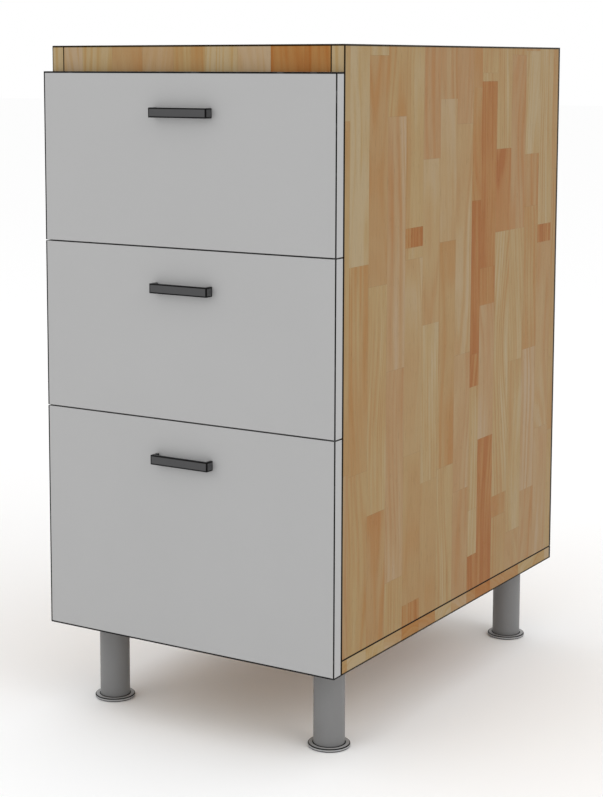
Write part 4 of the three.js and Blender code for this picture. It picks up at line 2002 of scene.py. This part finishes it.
@dataclass
class Drawer:
    """A drawer: a timber box, an overlay front and its bar handle.

    Attributes:
        finishes: The shared finishes.
        level: Its place in the stack.
        handle_stock: Thickness of the handle's flat bar.
        handle_edge: Rounding of the handle's edges.
        front_screw_inset: From the box's sides and underside to the screws that hold the front.
        front_screw_top: From the box's top to the upper ones.
        bumper: Diameter of the felt dots behind the front.
        bumper_height: Thickness of those dots.
        bumper_inset: From the front's side edges to the dots' centres.
        bumper_ends: From the front's top and bottom edges to the dots' centres.
        outer_line: Width of the dark line along the fronts' outer edges.
        gap_line: Width of that line, as painted shade, beside the gap between two fronts.
        screw: The screws that hold the front.
        handle_screw: The screws that hold the handle.
    """

    finishes: Finishes
    level: Level
    handle_stock: float = 4 * MM
    handle_edge: float = 0.6 * MM
    front_screw_inset: float = 38 * MM
    front_screw_top: float = 26.6 * MM
    bumper: float = 8 * MM
    bumper_height: float = 0.8 * MM
    bumper_inset: float = 8.5 * MM
    bumper_ends: float = 25.5 * MM
    outer_line: float = 2.3 * MM
    gap_line: float = 0.4 * MM
    screw: Screw = field(default_factory=lambda: Screw(8 * MM, 2.2 * MM, 4 * MM, 3 * MM))
    handle_screw: Screw = field(
        default_factory=lambda: Screw(5.6 * MM, 1.9 * MM, 3 * MM, 3 * MM, arm=2.8 * MM)
    )

    @property
    def body(self) -> str:
        """The body that the drawer's pieces ride on, whose name also starts theirs."""
        return f"{self.level.value}_drawer"

    def build_handle(self) -> None:
        """Folds the handle's flat bar into its square U."""
        node = f"{self.body}_handle"
        low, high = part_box(node)
        bar_back = low.y + self.handle_stock
        handle = Piece.block(f"{self.level.value}_bar_handle", low, (high.x, bar_back, high.z))
        with handle.editing():
            for x in (low.x + self.handle_stock, high.x - self.handle_stock):
                handle.slice((x, 0, 0), (1, 0, 0))
            handle.pick_faces(lambda face: self._is_end(face, low, high))
            bpy.ops.mesh.extrude_region_move(TRANSFORM_OT_translate={"value": (0, high.y - bar_back, 0)})
        handle.dressed(HANDLE_COAT.skin(f"{node}_powder_coat", (low, high)), self.finishes.handle_edge)
        handle.bevelled(self.handle_edge, 3, edge_slot=1).smooth(40)
        handle.ride(self.body, "handle_metal", [node])

    def _is_end(self, face: bmesh.types.BMFace, low: Vector, high: Vector) -> bool:
        """Tells whether a face of the bar is where a post starts.

        Args:
            face: The face.
            low: The handle's lowest corner.
            high: Its highest corner.

        Returns:
            Whether it is.
        """
        middle = face.calc_center_median()
        beyond = min(middle.x - low.x, high.x - middle.x) < self.handle_stock
        return face.normal.y > 0.9 and beyond

    def add_bumpers(self) -> None:
        """Adds a felt dot behind each corner of the front."""
        low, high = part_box(f"{self.body}_front")
        shares = ((1, 0), (1, 0.7), (0.96, 0.9), (0.88, 1))
        profile = [(self.bumper / 2 * wide, self.bumper_height * tall) for wide, tall in shares]
        dot = Piece.turned("bumper_model", (0, 0, 0), profile, steps=32).turned_over(*FACE_BACK)
        dots = []
        for x in (low.x + self.bumper_inset, high.x - self.bumper_inset):
            for z in (low.z + self.bumper_ends, high.z - self.bumper_ends):
                dots.append(dot.copied(f"{self.body}_bumper_{len(dots)}", (x, high.y, z)))
        bpy.data.objects.remove(dot.object)
        pads = Piece.joined(f"{self.body}_bumpers", dots).dressed(self.finishes.felt).smooth(40)
        pads.ride(self.body, "foot_plastic")

    def add_screws(self) -> None:
        """Adds the screws inside the box that hold the front and the handle."""
        low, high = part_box(f"{self.body}_box_front")
        inset = self.front_screw_inset
        front = [
            Vector((x, high.y, z))
            for x in (low.x + inset, high.x - inset)
            for z in (low.z + inset, high.z - self.front_screw_top)
        ]
        screws = self.screw.placed(f"{self.body}_front_screws", self.finishes, front, FACE_BACK)
        screws.ride(self.body, "runner_steel")
        grip_low, grip_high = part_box(f"{self.body}_handle")
        height = (grip_low.z + grip_high.z) / 2
        if not low.z < height < high.z:
            return
        posts = (grip_low.x + self.handle_stock / 2, grip_high.x - self.handle_stock / 2)
        grip = [Vector((x, high.y, height)) for x in posts]
        screws = self.handle_screw.placed(f"{self.body}_handle_screws", self.finishes, grip, FACE_BACK)
        screws.ride(self.body, "runner_steel")

    def edge_lines(self) -> EdgeWidths:
        """Gives the widths of the dark line along the front's edges.

        Returns:
            The widths, which are smaller where another front is the neighbour.
        """
        is_lowest, is_highest = self.level is Level.BOTTOM, self.level is Level.TOP
        return {
            (Axis.X, End.LOW): self.outer_line,
            (Axis.Z, End.LOW): self.outer_line if is_lowest else self.gap_line,
            (Axis.Z, End.HIGH): self.outer_line if is_highest else self.gap_line,
        }

    def dress_boards(self) -> None:
        """Finishes the front and the box's walls and base."""
        front = f"{self.body}_front"
        lacquer = FRONT_LACQUER.board(f"{front}_lacquer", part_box(front), self.edge_lines())
        dress_node(front, lacquer)
        seed = 100.0 * (1 + list(Level).index(self.level))
        grains = {"box_front": Axis.X, "box_back": Axis.X, "left_side": Axis.Y, "right_side": Axis.Y}
        for number, (wall, grain) in enumerate(grains.items()):
            node = f"{self.body}_{wall}"
            dress_node(node, BOX_TIMBER.board(f"{node}_timber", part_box(node), grain, seed + number))
        dress_node(f"{self.body}_base", self.finishes.fibre)

    def build(self) -> None:
        """Builds and dresses the drawer."""
        self.dress_boards()
        self.build_handle()
        self.add_bumpers()
        self.add_screws()


# ---- Studio ------------------------------------------------------------------------------------


@dataclass(frozen=True)
class Lamp:
    """A large soft lamp.

    Attributes:
        name: The lamp's name.
        place: Where it hangs.
        power: Its power in watts.
        size: The side of its square face.
    """

    name: str
    place: tuple[float, float, float]
    power: float
    size: float = 2.4

    def add(self, target: Vector) -> None:
        """Adds the lamp.

        Args:
            target: The point that it shines at.
        """
        data = bpy.data.lights.new(self.name, "AREA")
        data.size = self.size
        data.energy = self.power
        lamp = bpy.data.objects.new(self.name, data)
        bpy.context.scene.collection.objects.link(lamp)
        lamp.location = self.place
        way = target - Vector(self.place)
        lamp.rotation_euler = way.to_track_quat("-Z", "Y").to_euler()


@dataclass(frozen=True)
class Studio:
    """The camera, the lights and the floor.

    The camera was fitted to the corners of the cabinet in the photograph, whose frame is 603 by
    797 pixels and is cropped, so that its middle isn't on the camera's axis.

    Attributes:
        camera_place: Where the camera is.
        camera_turn: Its turn about Z, in degrees.
        camera_dip: How far it looks down, in degrees.
        focal_pixels: Its focal length, in pixels of the photograph.
        axis_pixel: The pixel that its axis goes through.
        photo_size: Width and height of the photograph.
        sensor: Width of the sensor along the photograph's longer side, in millimetres.
        horizon: How far the camera sees.
        lamps: The lamps.
        target: The point that they shine at.
        floor_size: Side of the floor.
        floor_height: Height of the floor, a hair below the feet so that their undersides get light.
        floor_paint: The floor's colour.
    """

    camera_place: tuple[float, float, float] = (1.16861, -1.97113, 0.78516)
    camera_turn: float = 32.478
    camera_dip: float = 6.937
    focal_pixels: float = 1808.05
    axis_pixel: tuple[float, float] = (257.17, 282.88)
    photo_size: tuple[int, int] = (603, 797)
    sensor: float = 36.0
    horizon: float = 200.0
    lamps: tuple[Lamp, ...] = (
        Lamp("key_lamp", (3.6, -1.0, 2.6), 27.0),
        Lamp("fill_lamp", (-1.6, -3.6, 2.2), 16.0),
    )
    target: tuple[float, float, float] = (0.0, 0.0, 0.4)
    floor_size: float = 60.0
    floor_height: float = -0.3 * MM
    floor_paint: Rgb = (0.98, 0.98, 0.98)

    def add_camera(self) -> None:
        """Adds the camera at the photograph's viewing angle."""
        data = bpy.data.cameras.new("photo_camera")
        camera = bpy.data.objects.new("photo_camera", data)
        bpy.context.scene.collection.objects.link(camera)
        camera.location = self.camera_place
        camera.rotation_euler = (math.radians(90 - self.camera_dip), 0, math.radians(self.camera_turn))
        width, height = self.photo_size
        data.sensor_width = self.sensor
        data.lens = self.focal_pixels * self.sensor / height
        data.shift_x = ((width - 1) / 2 - self.axis_pixel[0]) / height
        data.shift_y = (self.axis_pixel[1] - (height - 1) / 2) / height
        data.clip_end = self.horizon
        bpy.context.scene.camera = camera

    def add_surroundings(self) -> None:
        """Adds an even white room and the pale floor, which can be seen through from below."""
        scene = bpy.context.scene
        scene.view_settings.view_transform = "Standard"
        scene.world = bpy.data.worlds.new("studio")
        scene.world.use_nodes = True
        background = scene.world.node_tree.nodes["Background"].inputs
        background["Color"].default_value = (1, 1, 1, 1)
        background["Strength"].default_value = 1.0
        plane = {"size": self.floor_size, "location": (0, 0, self.floor_height)}
        floor = Piece.added("studio_floor", bpy.ops.mesh.primitive_plane_add, **plane)
        shading = Shading("studio_floor")
        paint = shading.node("ShaderNodeBsdfDiffuse", None, {"Color": self.floor_paint})
        clear = shading.node("ShaderNodeBsdfTransparent")
        below = shading.node("ShaderNodeNewGeometry").outputs["Backfacing"]
        sheets = {0: below, 1: paint.outputs["BSDF"], 2: clear.outputs["BSDF"]}
        sheet = shading.node("ShaderNodeMixShader", None, sheets)
        shading.node("ShaderNodeOutputMaterial", None, {"Surface": sheet.outputs["Shader"]})
        floor.dressed(shading.material)

    def build(self) -> None:
        """Sets up the studio."""
        self.add_camera()
        self.add_surroundings()
        for lamp in self.lamps:
            lamp.add(Vector(self.target))


def main() -> None:
    logging.basicConfig(level=logging.INFO, format="%(name)s: %(message)s")
    Studio().build()
    finishes = Finishes()
    Carcass(finishes).build()
    for row in Row:
        for side in Side:
            Leg(finishes, row, side).build()
    kit = RunnerKit(finishes)
    rails = kit.models()
    for level in Level:
        Drawer(finishes, level).build()
        for side in Side:
            Runner(finishes, level, side, kit).build(rails)
    for model in rails.values():
        bpy.data.objects.remove(model.object)


if __name__ == "__main__":
    main()
